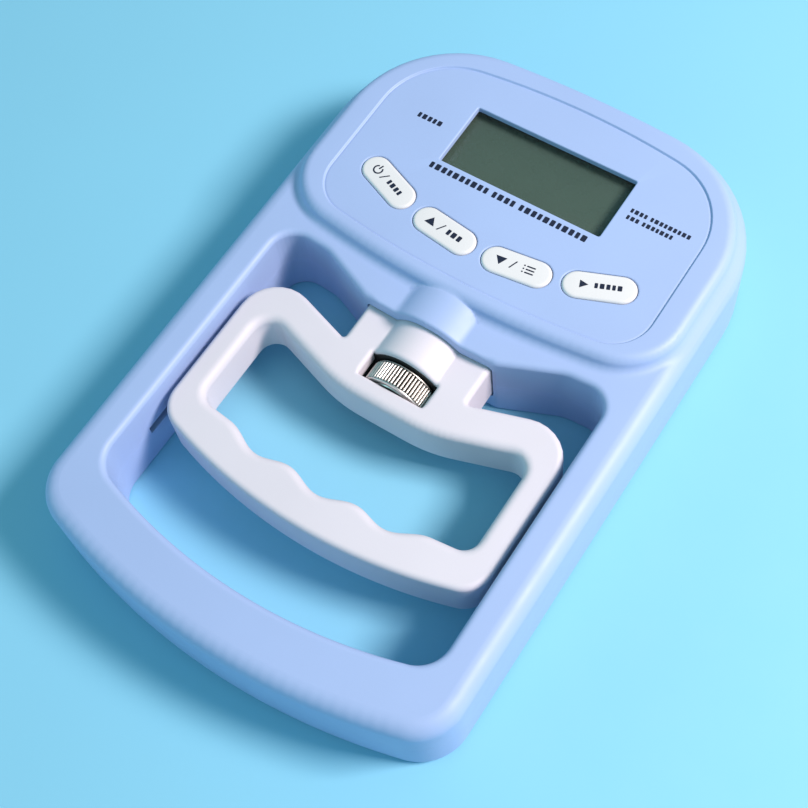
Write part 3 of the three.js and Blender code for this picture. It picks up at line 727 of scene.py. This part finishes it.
def display_face_painted_shade():
    """The unlit display: grey-green, with painted shade that darkens it towards its far edge, and a faint
    polariser grain.
    """
    m = Nodes("display_face_painted_shade")
    # Painted shade: the display darkens towards its far edge, where the window's walls shade it.
    along = m.remap(m.coordinate("Y"), GLASS_LOW.y * MM, GLASS_HIGH.y * MM)
    painted_shade_tone = m.ramp(along, [(0.0, (0.068, 0.112, 0.086)), (1.0, (0.054, 0.092, 0.071))])
    m.set(Base_Color=m.stained(0.6, painted_shade_tone, 0.94, 1400, 2, stretch=(1, 14, 1)))
    m.roughness(0.22, 0.34, 220, 3)
    m.bump(m.noise(60, 1), 0.05, 0.05)
    return m.material


def clear_lens():
    """Clear acrylic with a hint of dust and fine wipe marks."""
    m = Nodes("clear_acrylic")
    dust = m.ramp(m.noise(140, 3), [(0.3, (0.10, 0.13, 0.12)), (0.7, (0.14, 0.17, 0.16))])
    m.set(Base_Color=dust, Alpha=0.06, IOR=ACRYLIC_IOR)
    m.roughness(0.03, 0.1, 500, 4, (1, 9, 1))
    m.bump(m.noise(35, 1), 0.05, 0.05)
    return m.material


def ink(name, colour):
    """Pad-printed ink, a little uneven in its cover."""
    m = Nodes(name)
    m.set(Base_Color=m.drift(colour, 1, 1.5, 2600, 3, (0.35, 0.75)))
    m.roughness(0.4, 0.55, 900, 2)
    m.bump(m.noise(5000, 1), 0.2, 0.005)
    return m.material


def table_top():
    """The plain pale floor."""
    m = Nodes("floor_paper")
    m.set(Base_Color=m.drift(FLOOR_COLOUR, 1, 1.02, 9, 2))
    m.roughness(0.75, 0.9, 60, 3)
    m.bump(m.noise(1500, 2), 0.1, 0.03)
    return m.material


BLUE = (0.362, 0.482, 0.768)
WHITE = (0.695, 0.668, 0.738)
FLOOR_COLOUR = (0.245, 0.595, 0.79)

MATERIALS = {
    "case_blue": moulded_plastic("case_plastic", BLUE, 0.5, 1.03),
    "handle_white": moulded_plastic("handle_plastic", WHITE, 0.56, 1.04),
    "key_white": moulded_plastic("key_plastic", (0.74, 0.74, 0.755), 0.38, 1.04, 0.01),
    "nickel": knurled_nickel(),
    "steel": plated_metal("zinc_plate", (0.42, 0.43, 0.45), 0.34, (1, 6, 1)),
    "aluminium": plated_metal("milled_aluminium", (0.62, 0.63, 0.65), 0.38, (18, 1, 1)),
    "clear_window": clear_lens(),
    "display": display_face_painted_shade(),
    "black_plastic": moulded_plastic("black_plastic", (0.018, 0.02, 0.022), 0.5, 1.3),
    "board": circuit_board(),
    "silicone": rubber("silicone", (0.55, 0.57, 0.6)),
    "foil": foil_gauge(),
    "battery": battery_sleeve(),
    "lead_red": rubber("red_sleeve", (0.42, 0.02, 0.02)),
    "lead_grey": rubber("grey_sleeve", (0.25, 0.26, 0.28)),
}
DARK_INK = ink("dark_ink", (0.006, 0.009, 0.03))


def dress_cad_nodes():
    """Gives every CAD node the material of its slot in the record."""
    for row in frame["record"]["subparts"]:
        node = frame["nodes"][row["node"]]
        node.data.materials.clear()
        node.data.materials.append(MATERIALS[row["material_slot"]])


# ---- case outlines

FRAME_LINE = resampled(bowed_rectangle(HALF_WIDTH, (PALM_END, 187, 14), (HEAD_END, 400, 38)))
PAD_LINE = resampled(bowed_rectangle(59, (16.2, 300, 18), (92.2, 380, 34)), 1.6)
PANEL_LINE = resampled(bowed_rectangle(50.6, (20.8, 300, 12), (85.6, 230, 22)))
WINDOW_LINE = resampled(rounded_box(-WINDOW_HALF, WINDOW_HALF, *WINDOW_Y, 0.6))


def opening_loop():
    """The hand opening's outline, with points where the neck's mouth and the guide slots end."""
    loop = resampled(opening_outline(), 0.7)
    for y in (SLOT_LOW, SLOT_HIGH):
        loop = cut_at(loop, 1, y)
    for x in (-MOUTH_HALF, MOUTH_HALF):
        loop = cut_at(loop, 0, x)
    return loop


OPENING_LINE = opening_loop()
KEY_HOLES = [
    resampled(key_place(pill(KEY_LENGTH + 2 * KEY_GAP, KEY_WIDTH + 2 * KEY_GAP), angle), 1.5)
    for angle in KEY_ANGLES.values()
]
PANEL_HOLES = [WINDOW_LINE, *KEY_HOLES]


def mouth_edge(x, flat, up):
    """Height of the neck's mouth across the width; up is 1 for its upper edge and -1 for its lower."""
    corner = np.clip(np.abs(x) - (MOUTH_HALF - MOUTH_CORNER), 0, MOUTH_CORNER)
    edge = up * (flat - AXIS_Z) - MOUTH_CORNER + np.sqrt(MOUTH_CORNER**2 - corner**2)
    return AXIS_Z + up * smooth_max(edge, cylinder_rise(x, BUMP_RADIUS + MOUTH_GAP), width=0.5)


def opening_walls(shape, height, seam, flat, up):
    """The opening's walls, from the outer surface to the seam, the neck's mouth or a guide slot."""
    count = len(OPENING_LINE)
    x, y = (OPENING_LINE + np.roll(OPENING_LINE, -1, axis=0)).T[:, :, None] / 2
    in_mouth = (np.abs(x) < MOUTH_HALF) & (y > 0)
    in_slot = (np.abs(x) > OPENING_HALF - 0.6) & (y > SLOT_LOW) & (y < SLOT_HIGH)
    slot_edge = PARTING + up * SLOT_HALF_HEIGHT
    ends = np.where(in_mouth, pairs(mouth_edge(OPENING_LINE[:, 0], flat, up), count), seam)
    ends = np.where(in_slot, slot_edge, ends)
    corner = mouth_edge(np.array([MOUTH_HALF]), flat, up)[0]
    shape.curtain(OPENING_LINE, pairs(height(OPENING_LINE), count), ends, [corner, slot_edge])


def pad_profile(distance):
    """Rise of the head pad: a concave foot that runs into a rounded upper edge."""
    rise = PAD_TOP - FRAME_TOP
    slope = math.acos((PAD_FOOT - (rise - PAD_EDGE)) / (PAD_EDGE + PAD_FOOT))
    start = PAD_EDGE - (PAD_EDGE + PAD_FOOT) * math.sin(slope)
    meet = start + PAD_FOOT * math.sin(slope)
    out = np.clip(distance - start, 0, meet - start)
    foot = PAD_FOOT - np.sqrt(PAD_FOOT**2 - out**2)
    upper = rise - rounding(distance, PAD_EDGE)
    return np.where(distance < meet, foot, upper)


def pad_rings():
    """Lines across the pad's edge."""
    steps = [*np.linspace(-2.4, -0.2, 8), *np.linspace(0.0, 0.5, 5), *np.linspace(0.8, 3.3, 7)]
    return [offset(PAD_LINE, -step) for step in steps]


def panel_profile(distance):
    """Drop from the pad's rim to the panel, with a fine groove at its foot."""
    step = PANEL_DEPTH * smooth_step((distance + 0.25) / 0.5)
    groove = PANEL_GROOVE * smooth_step((distance + 0.05) / 0.25) * (1 - smooth_step((distance - 0.3) / 0.5))
    return step + groove


def front_height(points):
    """Height of the front shell's outer surface."""
    x, y = points.T
    z = FRAME_TOP - rounding(depth(points, FRAME_LINE), TOP_EDGE)
    z = z + pad_profile(depth(points, PAD_LINE))
    z = z - panel_profile(depth(points, PANEL_LINE))
    fall = HUMP_FALL * smooth_step((y - HUMP_FALL_START) / HUMP_FALL_LENGTH)
    hump = AXIS_Z + cylinder_rise(x, HUMP_RADIUS) - fall
    z = np.where((y > 0) & (y < HUMP_END), smooth_max(z, hump, width=0.9), z)
    lip = (OPENING_EDGE - MOUTH_EDGE) * smooth_step((MOUTH_HALF - np.abs(x)) / MOUTH_FADE) * (y > 0)
    z = z - rounding(-depth(points, OPENING_LINE), OPENING_EDGE - lip)
    return lipped(z, points, PANEL_HOLES, 1)


# A fine grid over the hump, where the surface curves both ways.
HUMP_POINTS = grid_points(np.arange(-12.75, 12.8, 0.3), np.arange(9.2, 22, 0.3))


def front_shell():
    """Head, rails and palm bar down to the parting line."""
    shape = Shape()
    rings = [*edge_rings(FRAME_LINE, TOP_EDGE, -1), *edge_rings(OPENING_LINE, OPENING_EDGE)]
    rings += [*pad_rings(), *(offset(PANEL_LINE, -s) for s in (-0.3, -0.12, 0, 0.12, 0.3, 0.6, 0.9))]
    rings += lip_rings(PANEL_HOLES)
    shape.sheet(FRAME_LINE, [OPENING_LINE, *PANEL_HOLES], front_height, rings, HUMP_POINTS)
    shape.curtain(FRAME_LINE, front_height(FRAME_LINE), PARTING + SEAM)
    opening_walls(shape, front_height, PARTING + SEAM, HANDLE_HIGH + MOUTH_GAP, 1)
    for hole in PANEL_HOLES:
        shape.curtain(hole, front_height(hole), PAD_TOP - PANEL_DEPTH - SKIN)
    return shape


COVER_LINE = resampled(rounded_box(-BAY_HALF - 1, BAY_HALF + 1, BAY_LOW - 0.9, BAY_HIGH + 0.9, 1.2), 6)
BAY_LINE = resampled(rounded_box(-BAY_HALF, BAY_HALF, BAY_LOW, BAY_HIGH, 1), 6)
SCREW_HOLES = [circle(x, y, COUNTERBORE) for x, y in both_sides(CASE_SCREWS)]
BACK_HOLES = [COVER_LINE, *SCREW_HOLES]


def rear_height(points):
    """Height of the rear shell's outer surface."""
    z = rounding(depth(points, FRAME_LINE), BASE_EDGE)
    z = z + rounding(-depth(points, OPENING_LINE), OPENING_BASE_EDGE)
    return lipped(z, points, BACK_HOLES, -1)


def rear_shell():
    """The back of the case, with the battery bay and the counterbores."""
    shape = Shape()
    rings = [*edge_rings(FRAME_LINE, BASE_EDGE, -1), *edge_rings(OPENING_LINE, OPENING_BASE_EDGE, 1, 4)]
    shape.sheet(FRAME_LINE, [OPENING_LINE, *BACK_HOLES], rear_height, [*rings, *lip_rings(BACK_HOLES)])
    shape.curtain(FRAME_LINE, rear_height(FRAME_LINE), PARTING - SEAM)
    opening_walls(shape, rear_height, PARTING - SEAM, HANDLE_LOW - MOUTH_GAP, -1)
    ledge = COVER_THICK + COVER_GAP
    shape.capped(COVER_LINE, rear_height(COVER_LINE), ledge, [BAY_LINE])
    shape.capped(BAY_LINE, ledge, BAY_ROOF)
    for hole in SCREW_HOLES:
        shape.curtain(hole, rear_height(hole), COUNTERBORE_DEPTH)
    return shape


def battery_cover():
    """The flush cover with its finger grip, tabs and latch."""
    shape = Shape()
    outline = offset(COVER_LINE, -COVER_GAP)
    grip_low, grip_high, grip_half, ridge_count = BAY_HIGH - 7, BAY_HIGH - 2, 8.0, 4

    def base(points):
        """The outer face, with the ridges of the grip sunk in it."""
        x, y = points.T
        ridges = 0.5 - 0.5 * np.cos((y - grip_low) * 2 * math.pi * ridge_count / (grip_high - grip_low))
        dished = smooth_step((grip_half - np.abs(x)) / 0.8)
        grip = 0.45 * ridges * dished * (y > grip_low) * (y < grip_high)
        return rounding(depth(points, outline), LIP) + grip

    reach = grip_half + 0.4
    grip_points = grid_points(np.linspace(-reach, reach, 45), np.linspace(grip_low, grip_high, 41))
    shape.sheet(outline, [], base, edge_rings(outline, LIP, -1, LIP_RINGS), grip_points)
    shape.capped(outline, LIP, COVER_THICK)
    tab_inner, tab_outer, tab_reach, latch_half = 12.3, 17.7, 2.9, 6
    for side in (-1, 1):
        across = sorted((tab_inner * side, tab_outer * side))
        rounded_block(shape, across, (BAY_LOW - tab_reach, BAY_LOW), (1.2, 1.8), 0.2)
    rounded_block(shape, (-latch_half, latch_half), (BAY_HIGH - 1.8, BAY_HIGH - 0.8), (1.3, 4.8), 0.3)
    return shape


# ---- handle

HANDLE_LINE = resampled(handle_outline(), 1.2)
FINGER_LINE = resampled(finger_hole(), 1.2)
WHEEL_WINDOW = resampled(rounded_box(-BAY_SIDE, BAY_SIDE, BAY_START, BAY_END, 0.5), 0.6)


def handle_surface(points, flat, up):
    """Height of the handle's upper (up is 1) or lower (up is -1) face."""
    x, y = points.T
    z = np.full(len(points), up * (flat - AXIS_Z))
    z = np.where(y > BAY_END - 0.01, smooth_max(z, cylinder_rise(x, BUMP_RADIUS), width=0.6), z)
    z = z - rounding(depth(points, HANDLE_LINE), HANDLE_EDGE)
    z = z - rounding(-depth(points, FINGER_LINE), HOLE_EDGE)
    edge = BAY_EDGE + (BUMP_EDGE - BAY_EDGE) * smooth_step((y - BAY_START) / 1.5)
    z = z - rounding(-depth(points, WHEEL_WINDOW), edge)
    return AXIS_Z + up * z


def handle_top(points):
    """Height of the handle's upper face."""
    return handle_surface(points, HANDLE_HIGH, 1)


def handle_base(points):
    """Height of the handle's lower face."""
    return handle_surface(points, HANDLE_LOW, -1)


# A fine grid over the bump above the rod.
BUMP_POINTS = grid_points(np.arange(-10, 10.1, 0.5), np.arange(-2.9, NECK_END - 1.6, 1.0))


def plate_side(loop):
    """A loop's right half without its stretch by the neck, and the point where that stretch begins."""
    end = NECK_HALF + 1
    half = loop[:np.argmax(loop[:, 0] < -1e-6)]
    half = half[(half[:, 1] < SHOULDER_START) | (half[:, 0] > end)]
    split = cut_at(resampled(loop), 0, end)
    return half, split[(np.abs(split[:, 0] - end) < 1e-4) & (split[:, 1] > SHOULDER_START)][0]


def back_plate_line():
    """The C-shaped back cover of the handle: outer side of the right half, inner side, mirrored."""
    outer, tip = plate_side(handle_outline(COVER_WALL, neck=False))
    inner, heel = plate_side(finger_hole(COVER_WALL))
    return resampled(mirrored([*outer, tip, heel, *inner[::-1]]))


PLATE_LINE = back_plate_line()


def handle_front():
    """The handle's tub: bars, shoulders and the neck that slides in the case."""
    shape = Shape()
    rings = [*edge_rings(HANDLE_LINE, HANDLE_EDGE, -1), *edge_rings(FINGER_LINE, HOLE_EDGE)]
    rings += edge_rings(WHEEL_WINDOW, BUMP_EDGE, 1, 4)
    holes = [FINGER_LINE, WHEEL_WINDOW]
    shape.sheet(HANDLE_LINE, holes, handle_top, rings, BUMP_POINTS)
    shape.sheet(HANDLE_LINE, [*holes, PLATE_LINE], handle_base, rings, BUMP_POINTS)
    for loop in [HANDLE_LINE, *holes]:
        shape.curtain(loop, handle_base(loop), handle_top(loop))
    recess = HANDLE_LOW + COVER_DEPTH
    shape.capped(PLATE_LINE, handle_base(PLATE_LINE), recess)
    tongue = (PARTING - SLOT_HALF_HEIGHT + 0.3, PARTING + SLOT_HALF_HEIGHT - 0.3)
    for side in (-1, 1):
        reach = sorted((side * (HANDLE_HALF - 1), side * TONGUE_REACH))
        rounded_block(shape, reach, (TONGUE_LOW, TONGUE_HIGH), tongue, 0.4)
    return shape


def handle_rear():
    """The back cover of the handle, with sunk screw holes."""
    shape = Shape()
    sinks = [circle(x, y, SINK, 24) for x, y in both_sides(HANDLE_SCREWS)]
    outline = offset(PLATE_LINE, -0.12)
    low, high = HANDLE_LOW, HANDLE_LOW + COVER_DEPTH - 0.05

    def base(points):
        """The outer face."""
        return lipped(low + rounding(depth(points, outline), LIP), points, sinks, -1)

    shape.sheet(outline, sinks, base, [*edge_rings(outline, LIP, -1, LIP_RINGS), *lip_rings(sinks)])
    shape.curtain(outline, low + LIP, high)
    for sink in sinks:
        shape.curtain(sink, base(sink), high)
    shape.sheet(outline, sinks, high)
    return shape


def bay_painted_shade_sleeve():
    """A thin dark sleeve in the wheel bay, below its rim: painted shade for the bay's dark inside."""
    shape = Shape()
    outer, inner = offset(WHEEL_WINDOW, -0.02), offset(WHEEL_WINDOW, -0.1)

    def top(points):
        """Just below the rim beside the bump, and well below it elsewhere."""
        x, y = points.T
        by_bump = y > BAY_END - 0.3
        rim_y = np.where(by_bump, BAY_END, np.minimum(y + 0.12, BAY_END))
        return handle_top(np.stack([x, rim_y], 1)) - np.where(by_bump, 0.35, 3.0)

    def base(points):
        """The same on the other side of the axis."""
        return 2 * AXIS_Z - top(points)

    for height in (top, base):
        shape.sheet(outer, [inner], height)
    for loop in (outer, inner):
        shape.curtain(loop, base(loop), top(loop))
    return shape


# ---- turned parts


def thumbwheel():
    """A straight-knurled wheel with smooth chamfered rims."""
    shape = Shape()
    low, high = WHEEL_BOX_LOW.y, WHEEL_BOX_HIGH.y
    root = WHEEL_RADIUS - KNURL
    rim = root + 0.5 * KNURL
    bore = ROD_RADIUS + 0.3
    # Distance from the wheel's end, radius, and share of the knurl.
    half_rows = [
        (0, bore, 0), (0, root - 2.2, 0), (0.3, root - 2.0, 0), (0.3, root - 1.3, 0), (0, root - 1.1, 0),
        (0, rim - 0.12, 0), (0.04, rim - 0.03, 0), (0.12, rim, 0), (RIM, rim, 0), (RIM + 0.05, root, 0.35),
        (RIM + 0.15, root, 0.8), (RIM + 0.3, root, 0.95), (RIM + 0.5, root, 1),
    ]
    rows = [(low + y, r, k) for y, r, k in half_rows]
    rows += [(high - y, r, k) for y, r, k in reversed(half_rows)]
    rows.append(rows[0])
    angles = np.linspace(0, 2 * math.pi, WHEEL_TEETH * 10, endpoint=False)
    wave = 0.5 + 0.5 * np.cos(WHEEL_TEETH * angles)
    teeth = KNURL * np.minimum(1, 1.2 * wave)
    lines = []
    for y, radius, share in rows:
        reach = radius + share * teeth
        x, z = reach * np.cos(angles), AXIS_Z + reach * np.sin(angles)
        lines.append(np.stack([x, np.full_like(angles, y), z], 1))
    shape.grid(lines)
    return shape


def helix(shape, radius, cut, pitch, low, high, segments, place):
    """A threaded shank along its own Z, from low to high; place turns its points into the frame."""
    profile = [(0.0, radius - cut), (0.2, radius - cut), (0.45, radius), (0.62, radius)]
    core = radius - cut - 0.1
    turns = math.ceil((high - low) / pitch)
    rows = []
    for turn in range(-1, turns + 1):
        for share, reach in profile:
            row = []
            for i in range(segments):
                angle = 2 * math.pi * i / segments
                z = low + (turn + share + i / segments) * pitch
                here = reach if low + 0.3 < z < high - 0.3 else core
                row.append(place(here * math.cos(angle), here * math.sin(angle), min(max(z, low), high)))
            rows.append(row)
    shape.grid(rows, closed=False)
    step = len(profile)
    for r in range(len(rows) - step - 1):
        seam = [rows[r][-1], rows[r + step][0], rows[r + step + 1][0], rows[r + 1][-1]]
        shape.add(seam, [[0, 1, 2, 3]])
    angles = np.arange(segments) * 2 * math.pi / segments
    for z in (low, high):
        shape.add([place(core * math.cos(a), core * math.sin(a), z) for a in angles], [list(range(segments))])


def threaded_rod():
    """The rod that the wheel turns in the load cell."""
    shape = Shape()
    ends = (ROD_LOW.y, ROD_HIGH.y)
    helix(shape, ROD_RADIUS, 0.55, ROD_PITCH, *ends, segments=20, place=lambda x, y, z: (x, z, AXIS_Z - y))
    return shape


def screw(radius, shank, low, high):
    """A cross-recessed screw seen from behind: its head's outer face at low, its tip at high."""
    shape = Shape()
    head, edge = radius * 0.6, 0.5
    arm, half = radius * 0.62, radius * 0.13
    cross = np.array([
        (arm, -half), (arm, half), (half, half), (half, arm), (-half, arm), (-half, half),
        (-arm, half), (-arm, -half), (-half, -half), (-half, -arm), (half, -arm), (half, -half),
    ])
    rim = circle(0, 0, radius, 32)

    def face(points):
        """The head's outer face."""
        return low + rounding(depth(points, rim), edge)

    shape.sheet(rim, [cross], face, edge_rings(rim, edge, -1, 4))
    shape.capped(cross, low, low + head * 0.6)
    shape.capped(rim, low + edge, low + head)
    ends = (low + head - 0.1, high)
    helix(shape, shank, 0.22 * shank, 0.9, *ends, segments=10, place=lambda x, y, z: (x, y, z))
    return shape


# ---- keys, display and printing


KEY_LINE = resampled(pill(KEY_LENGTH, KEY_WIDTH), 1.2)


def key_height(points):
    """Height of a key's crown over its own centre."""
    inner = depth(points, KEY_LINE)
    crown = KEY_CROWN * (1 - smooth_step(0.5 + inner / KEY_CROWN_WIDTH))
    return KEY_TOP - rounding(inner, KEY_EDGE) - crown


def key(angle):
    """A crowned pill key."""
    shape = Shape()
    rings = [offset(KEY_LINE, -step) for step in (1.4, 1.8, 2.3, 2.8, 3.3, 3.7)]
    rings = [*edge_rings(KEY_LINE, KEY_EDGE, -1, 5), *rings]
    shape.sheet(KEY_LINE, [], key_height, rings)
    top = key_height(KEY_LINE)[0]
    shape.curtain(KEY_LINE, KEY_BASE, top, [KEY_WAIST])
    shape.sheet(KEY_LINE, [], KEY_BASE)
    plan = key_place([p[:2] for p in shape.points], angle)
    shape.points = [(x, y, p[2]) for (x, y), p in zip(plan, shape.points)]
    return shape


def lens():
    """The clear window with its flange behind the panel."""
    shape = Shape()
    inner = offset(WINDOW_LINE, -0.15)
    shape.slab(inner, [], LENS_LOW.z + 0.1, LENS_HIGH.z, 0.25)
    flange = resampled(rounded_box(LENS_LOW.x, LENS_HIGH.x, LENS_LOW.y, LENS_HIGH.y, 1))
    shape.slab(flange, [inner], LENS_LOW.z, LENS_LOW.z + 0.7, 0.15)
    return shape


def glass():
    """The display's glass."""
    shape = Shape()
    outline = resampled(rounded_box(GLASS_LOW.x, GLASS_HIGH.x, GLASS_LOW.y, GLASS_HIGH.y, 0.5))
    shape.slab(outline, [], GLASS_LOW.z, GLASS_HIGH.z, 0.2)
    return shape


def printed(name, marks, height, body, angle=None):
    """Printing: thin flat marks, each an outline, at a height."""
    shape = Shape()
    for mark in marks:
        outline = np.asarray(mark, float)
        if angle is not None:
            outline = key_place(outline, angle)
        shape.sheet(outline, [], height)
        shape.sheet(outline, [], height - INK)
        shape.curtain(outline, height - INK, height)
    finished(name, shape, "black_plastic", body, [], material=DARK_INK)


def bar(x0, x1, y, thickness):
    """A bar with round ends."""
    return rounded_box(x0, x1, y - thickness / 2, y + thickness / 2, thickness * 0.45, 4)


def block_line(x, y, words, height):
    """Small blocks that stand for a line of words; words gives how many blocks each has."""
    width, gap = 0.66 * height, 0.31 * height
    marks = []
    for count in words:
        for i in range(count):
            size = width * (0.85 + 0.3 * ((i * 5) % 3) / 2)
            marks.append(rounded_box(x, x + size, y - height / 2, y + height / 2, 0.12 * height, 2))
            x += size + gap
        x += 1.6 * gap
    return marks


def slash(x):
    """A leaning stroke between two marks on a key."""
    return np.array([(x - 0.9, -1.3), (x - 0.5, -1.3), (x + 0.9, 1.3), (x + 0.5, 1.3)])


def triangle(x, up):
    """An arrow head pointing up or down a key."""
    points = np.array([(x - 1.6, -1.1 * up), (x + 1.6, -1.1 * up), (x, 1.4 * up)])
    return points if up > 0 else points[::-1]


def power_mark(x):
    """A broken ring and its upright stroke."""
    start, end = math.radians(125), math.radians(415)
    outer = arc(x, 0, 1.5, start, end, 20)
    inner = arc(x, 0, 1.05, end, start, 20)
    stroke = np.array([(x - 0.22, 0.3), (x + 0.22, 0.3), (x + 0.22, 1.8), (x - 0.22, 1.8)])
    return [np.array([*outer, *inner]), stroke]


def list_mark(x):
    """Three short lines, each after a dot, as on a list."""
    spans = [(x - 1.6, x - 1.1), (x - 0.7, x + 1.8)]
    return [bar(start, end, y, 0.42) for y in (-1.0, 0.0, 1.0) for start, end in spans]


def printing():
    """Generic marks where the panel and the keys are printed."""
    panel = PAD_TOP - PANEL_DEPTH + INK
    title = block_line(-26.6, 49.2, (10, 4, 11), 2.0)
    side = block_line(-38.9, 62.0, (5,), 1.7)
    notes = [*block_line(28.4, 63.4, (4, 9), 1.4), *block_line(28.4, 61.0, (3, 7), 1.4)]
    printed("panel_printing", [*title, *side, *notes], panel, "case")
    marks = {
        "button_power": [*power_mark(-5.0), slash(-1.9), *block_line(0.0, 0, (4,), 1.6)],
        "button_up": [triangle(-4.6, 1), slash(-1.1), *block_line(1.0, 0, (3,), 1.8)],
        "button_down": [triangle(-4.6, -1), slash(-0.9), *list_mark(3.4)],
        "button_start": [np.array([(-5.2, -1.2), (-2.9, 0), (-5.2, 1.2)]), *block_line(-1.3, 0, (5,), 1.6)],
    }
    for node, angle in KEY_ANGLES.items():
        printed(f"{node}_mark", marks[node], KEY_TOP + INK, node.replace("button", "key"), angle)


# ---- pieces


def build_case():
    """Shells, battery cover, lens and display."""
    finished("case_front", front_shell(), "case_blue", "case", ["front_shell"], SKIN)
    finished("case_rear", rear_shell(), "case_blue", "case", ["rear_shell"], -SKIN)
    finished("battery_door", battery_cover(), "case_blue", "cover", ["battery_cover"])
    finished("window_lens", lens(), "clear_window", "case", ["display_window"])
    finished("display_panel", glass(), "display", "case", ["display_glass"])


def build_handle():
    """The handle's two mouldings and the painted-shade sleeve in its wheel bay."""
    finished("grip_front", handle_front(), "handle_white", "handle", ["handle_front"])
    finished("grip_back", handle_rear(), "handle_white", "handle", ["handle_rear"])
    # The bay's sleeve is painted shade: a dark sheet where the bay is only shaded.
    finished("wheel_bay_painted_shade", bay_painted_shade_sleeve(), "black_plastic", "handle", [])


def build_metal():
    """Wheel, rod and the screws that can be seen."""
    finished("knurled_wheel", thumbwheel(), "nickel", "wheel", ["thumbwheel"], sharp=50)
    finished("screw_rod", threaded_rod(), "steel", "wheel", ["threaded_rod"])
    groups = [
        ("case_screw", "case", CASE_SCREWS, screw(radius=2.6, shank=1.2, low=1.5, high=20)),
        ("handle_screw", "handle", HANDLE_SCREWS, screw(radius=1.8, shank=0.9, low=HANDLE_LOW, high=17)),
    ]
    for name, body, places, shape in groups:
        for i, (x, y) in enumerate(both_sides(places), 1):
            node = f"{name}_{i}"
            turn = Matrix.Translation(Vector((x, y, 0)) * MM) @ Matrix.Rotation(0.7 * i, 4, "Z")
            finished(f"{node}_cross", shape, "steel", body, [node], turn=turn)


def build_keys():
    """The four keys."""
    for node, angle in KEY_ANGLES.items():
        body = node.replace("button", "key")
        finished(f"{node}_cap", key(angle), "key_white", body, [node])


# ---- stage

CAMERA_AZIMUTH, CAMERA_ELEVATION, CAMERA_ROLL = 42.52, 62.5, -10.17
CAMERA_DISTANCE = 0.38581
CAMERA_LENS = 64.965
AIM = Vector((0.00318, -0.01125, 0.015))
SURROUND = (0.50, 0.90, 1.0)
SURROUND_STRENGTH = 0.42
FLOOR_SIZE = 6.0
FLOOR_CELLS = 24
FLOOR_DROP = 0.02  # millimetres below the case


def place_camera():
    """The camera, high over the palm end and to its right."""
    azimuth, elevation, roll = (math.radians(a) for a in (CAMERA_AZIMUTH, CAMERA_ELEVATION, CAMERA_ROLL))
    flat = math.cos(elevation)
    back = Vector((math.sin(azimuth) * flat, -math.cos(azimuth) * flat, math.sin(elevation)))
    level = Vector((math.cos(azimuth), math.sin(azimuth), 0))
    rise = back.cross(level)
    right = math.cos(roll) * level + math.sin(roll) * rise
    up = math.cos(roll) * rise - math.sin(roll) * level
    data = bpy.data.cameras.new("camera")
    data.lens = CAMERA_LENS
    data.sensor_width = 36
    camera = add_object("camera", data)
    place = Matrix((right, up, back)).transposed().to_4x4()
    place.translation = AIM + CAMERA_DISTANCE * back
    camera.matrix_world = place
    bpy.context.scene.camera = camera


def area_light(name, place, size, power, colour):
    """A soft square light aimed at the object."""
    data = bpy.data.lights.new(name, "AREA")
    data.size = size
    data.energy = power
    data.color = colour
    light = add_object(name, data)
    light.location = place
    light.rotation_euler = (AIM - light.location).to_track_quat("-Z", "Y").to_euler()


def light_stage():
    """Soft key light from the right, a low cool fill from the left front and an even surround."""
    area_light("key", (0.578, 0.250, 0.640), size=0.25, power=10.6, colour=(1.0, 0.86, 0.835))
    area_light("fill", (-0.80, -0.70, 0.22), size=0.8, power=3.0, colour=(0.42, 0.90, 1.0))
    world = bpy.data.worlds.new("studio")
    world.use_nodes = True
    background = world.node_tree.nodes["Background"]
    background.inputs["Color"].default_value = (*SURROUND, 1)
    background.inputs["Strength"].default_value = SURROUND_STRENGTH
    bpy.context.scene.world = world
    bpy.context.scene.view_settings.view_transform = "Standard"


def lay_floor():
    """A wide plain floor under the case."""
    mesh = bpy.data.meshes.new("floor")
    work = bmesh.new()
    bmesh.ops.create_grid(work, x_segments=FLOOR_CELLS, y_segments=FLOOR_CELLS, size=FLOOR_SIZE / 2)
    work.to_mesh(mesh)
    work.free()
    floor = add_object("floor", mesh)
    floor.location.z = -FLOOR_DROP * MM
    mesh.materials.append(table_top())


place_camera()
light_stage()
lay_floor()
dress_cad_nodes()
build_case()
build_handle()
build_metal()
build_keys()
printing()
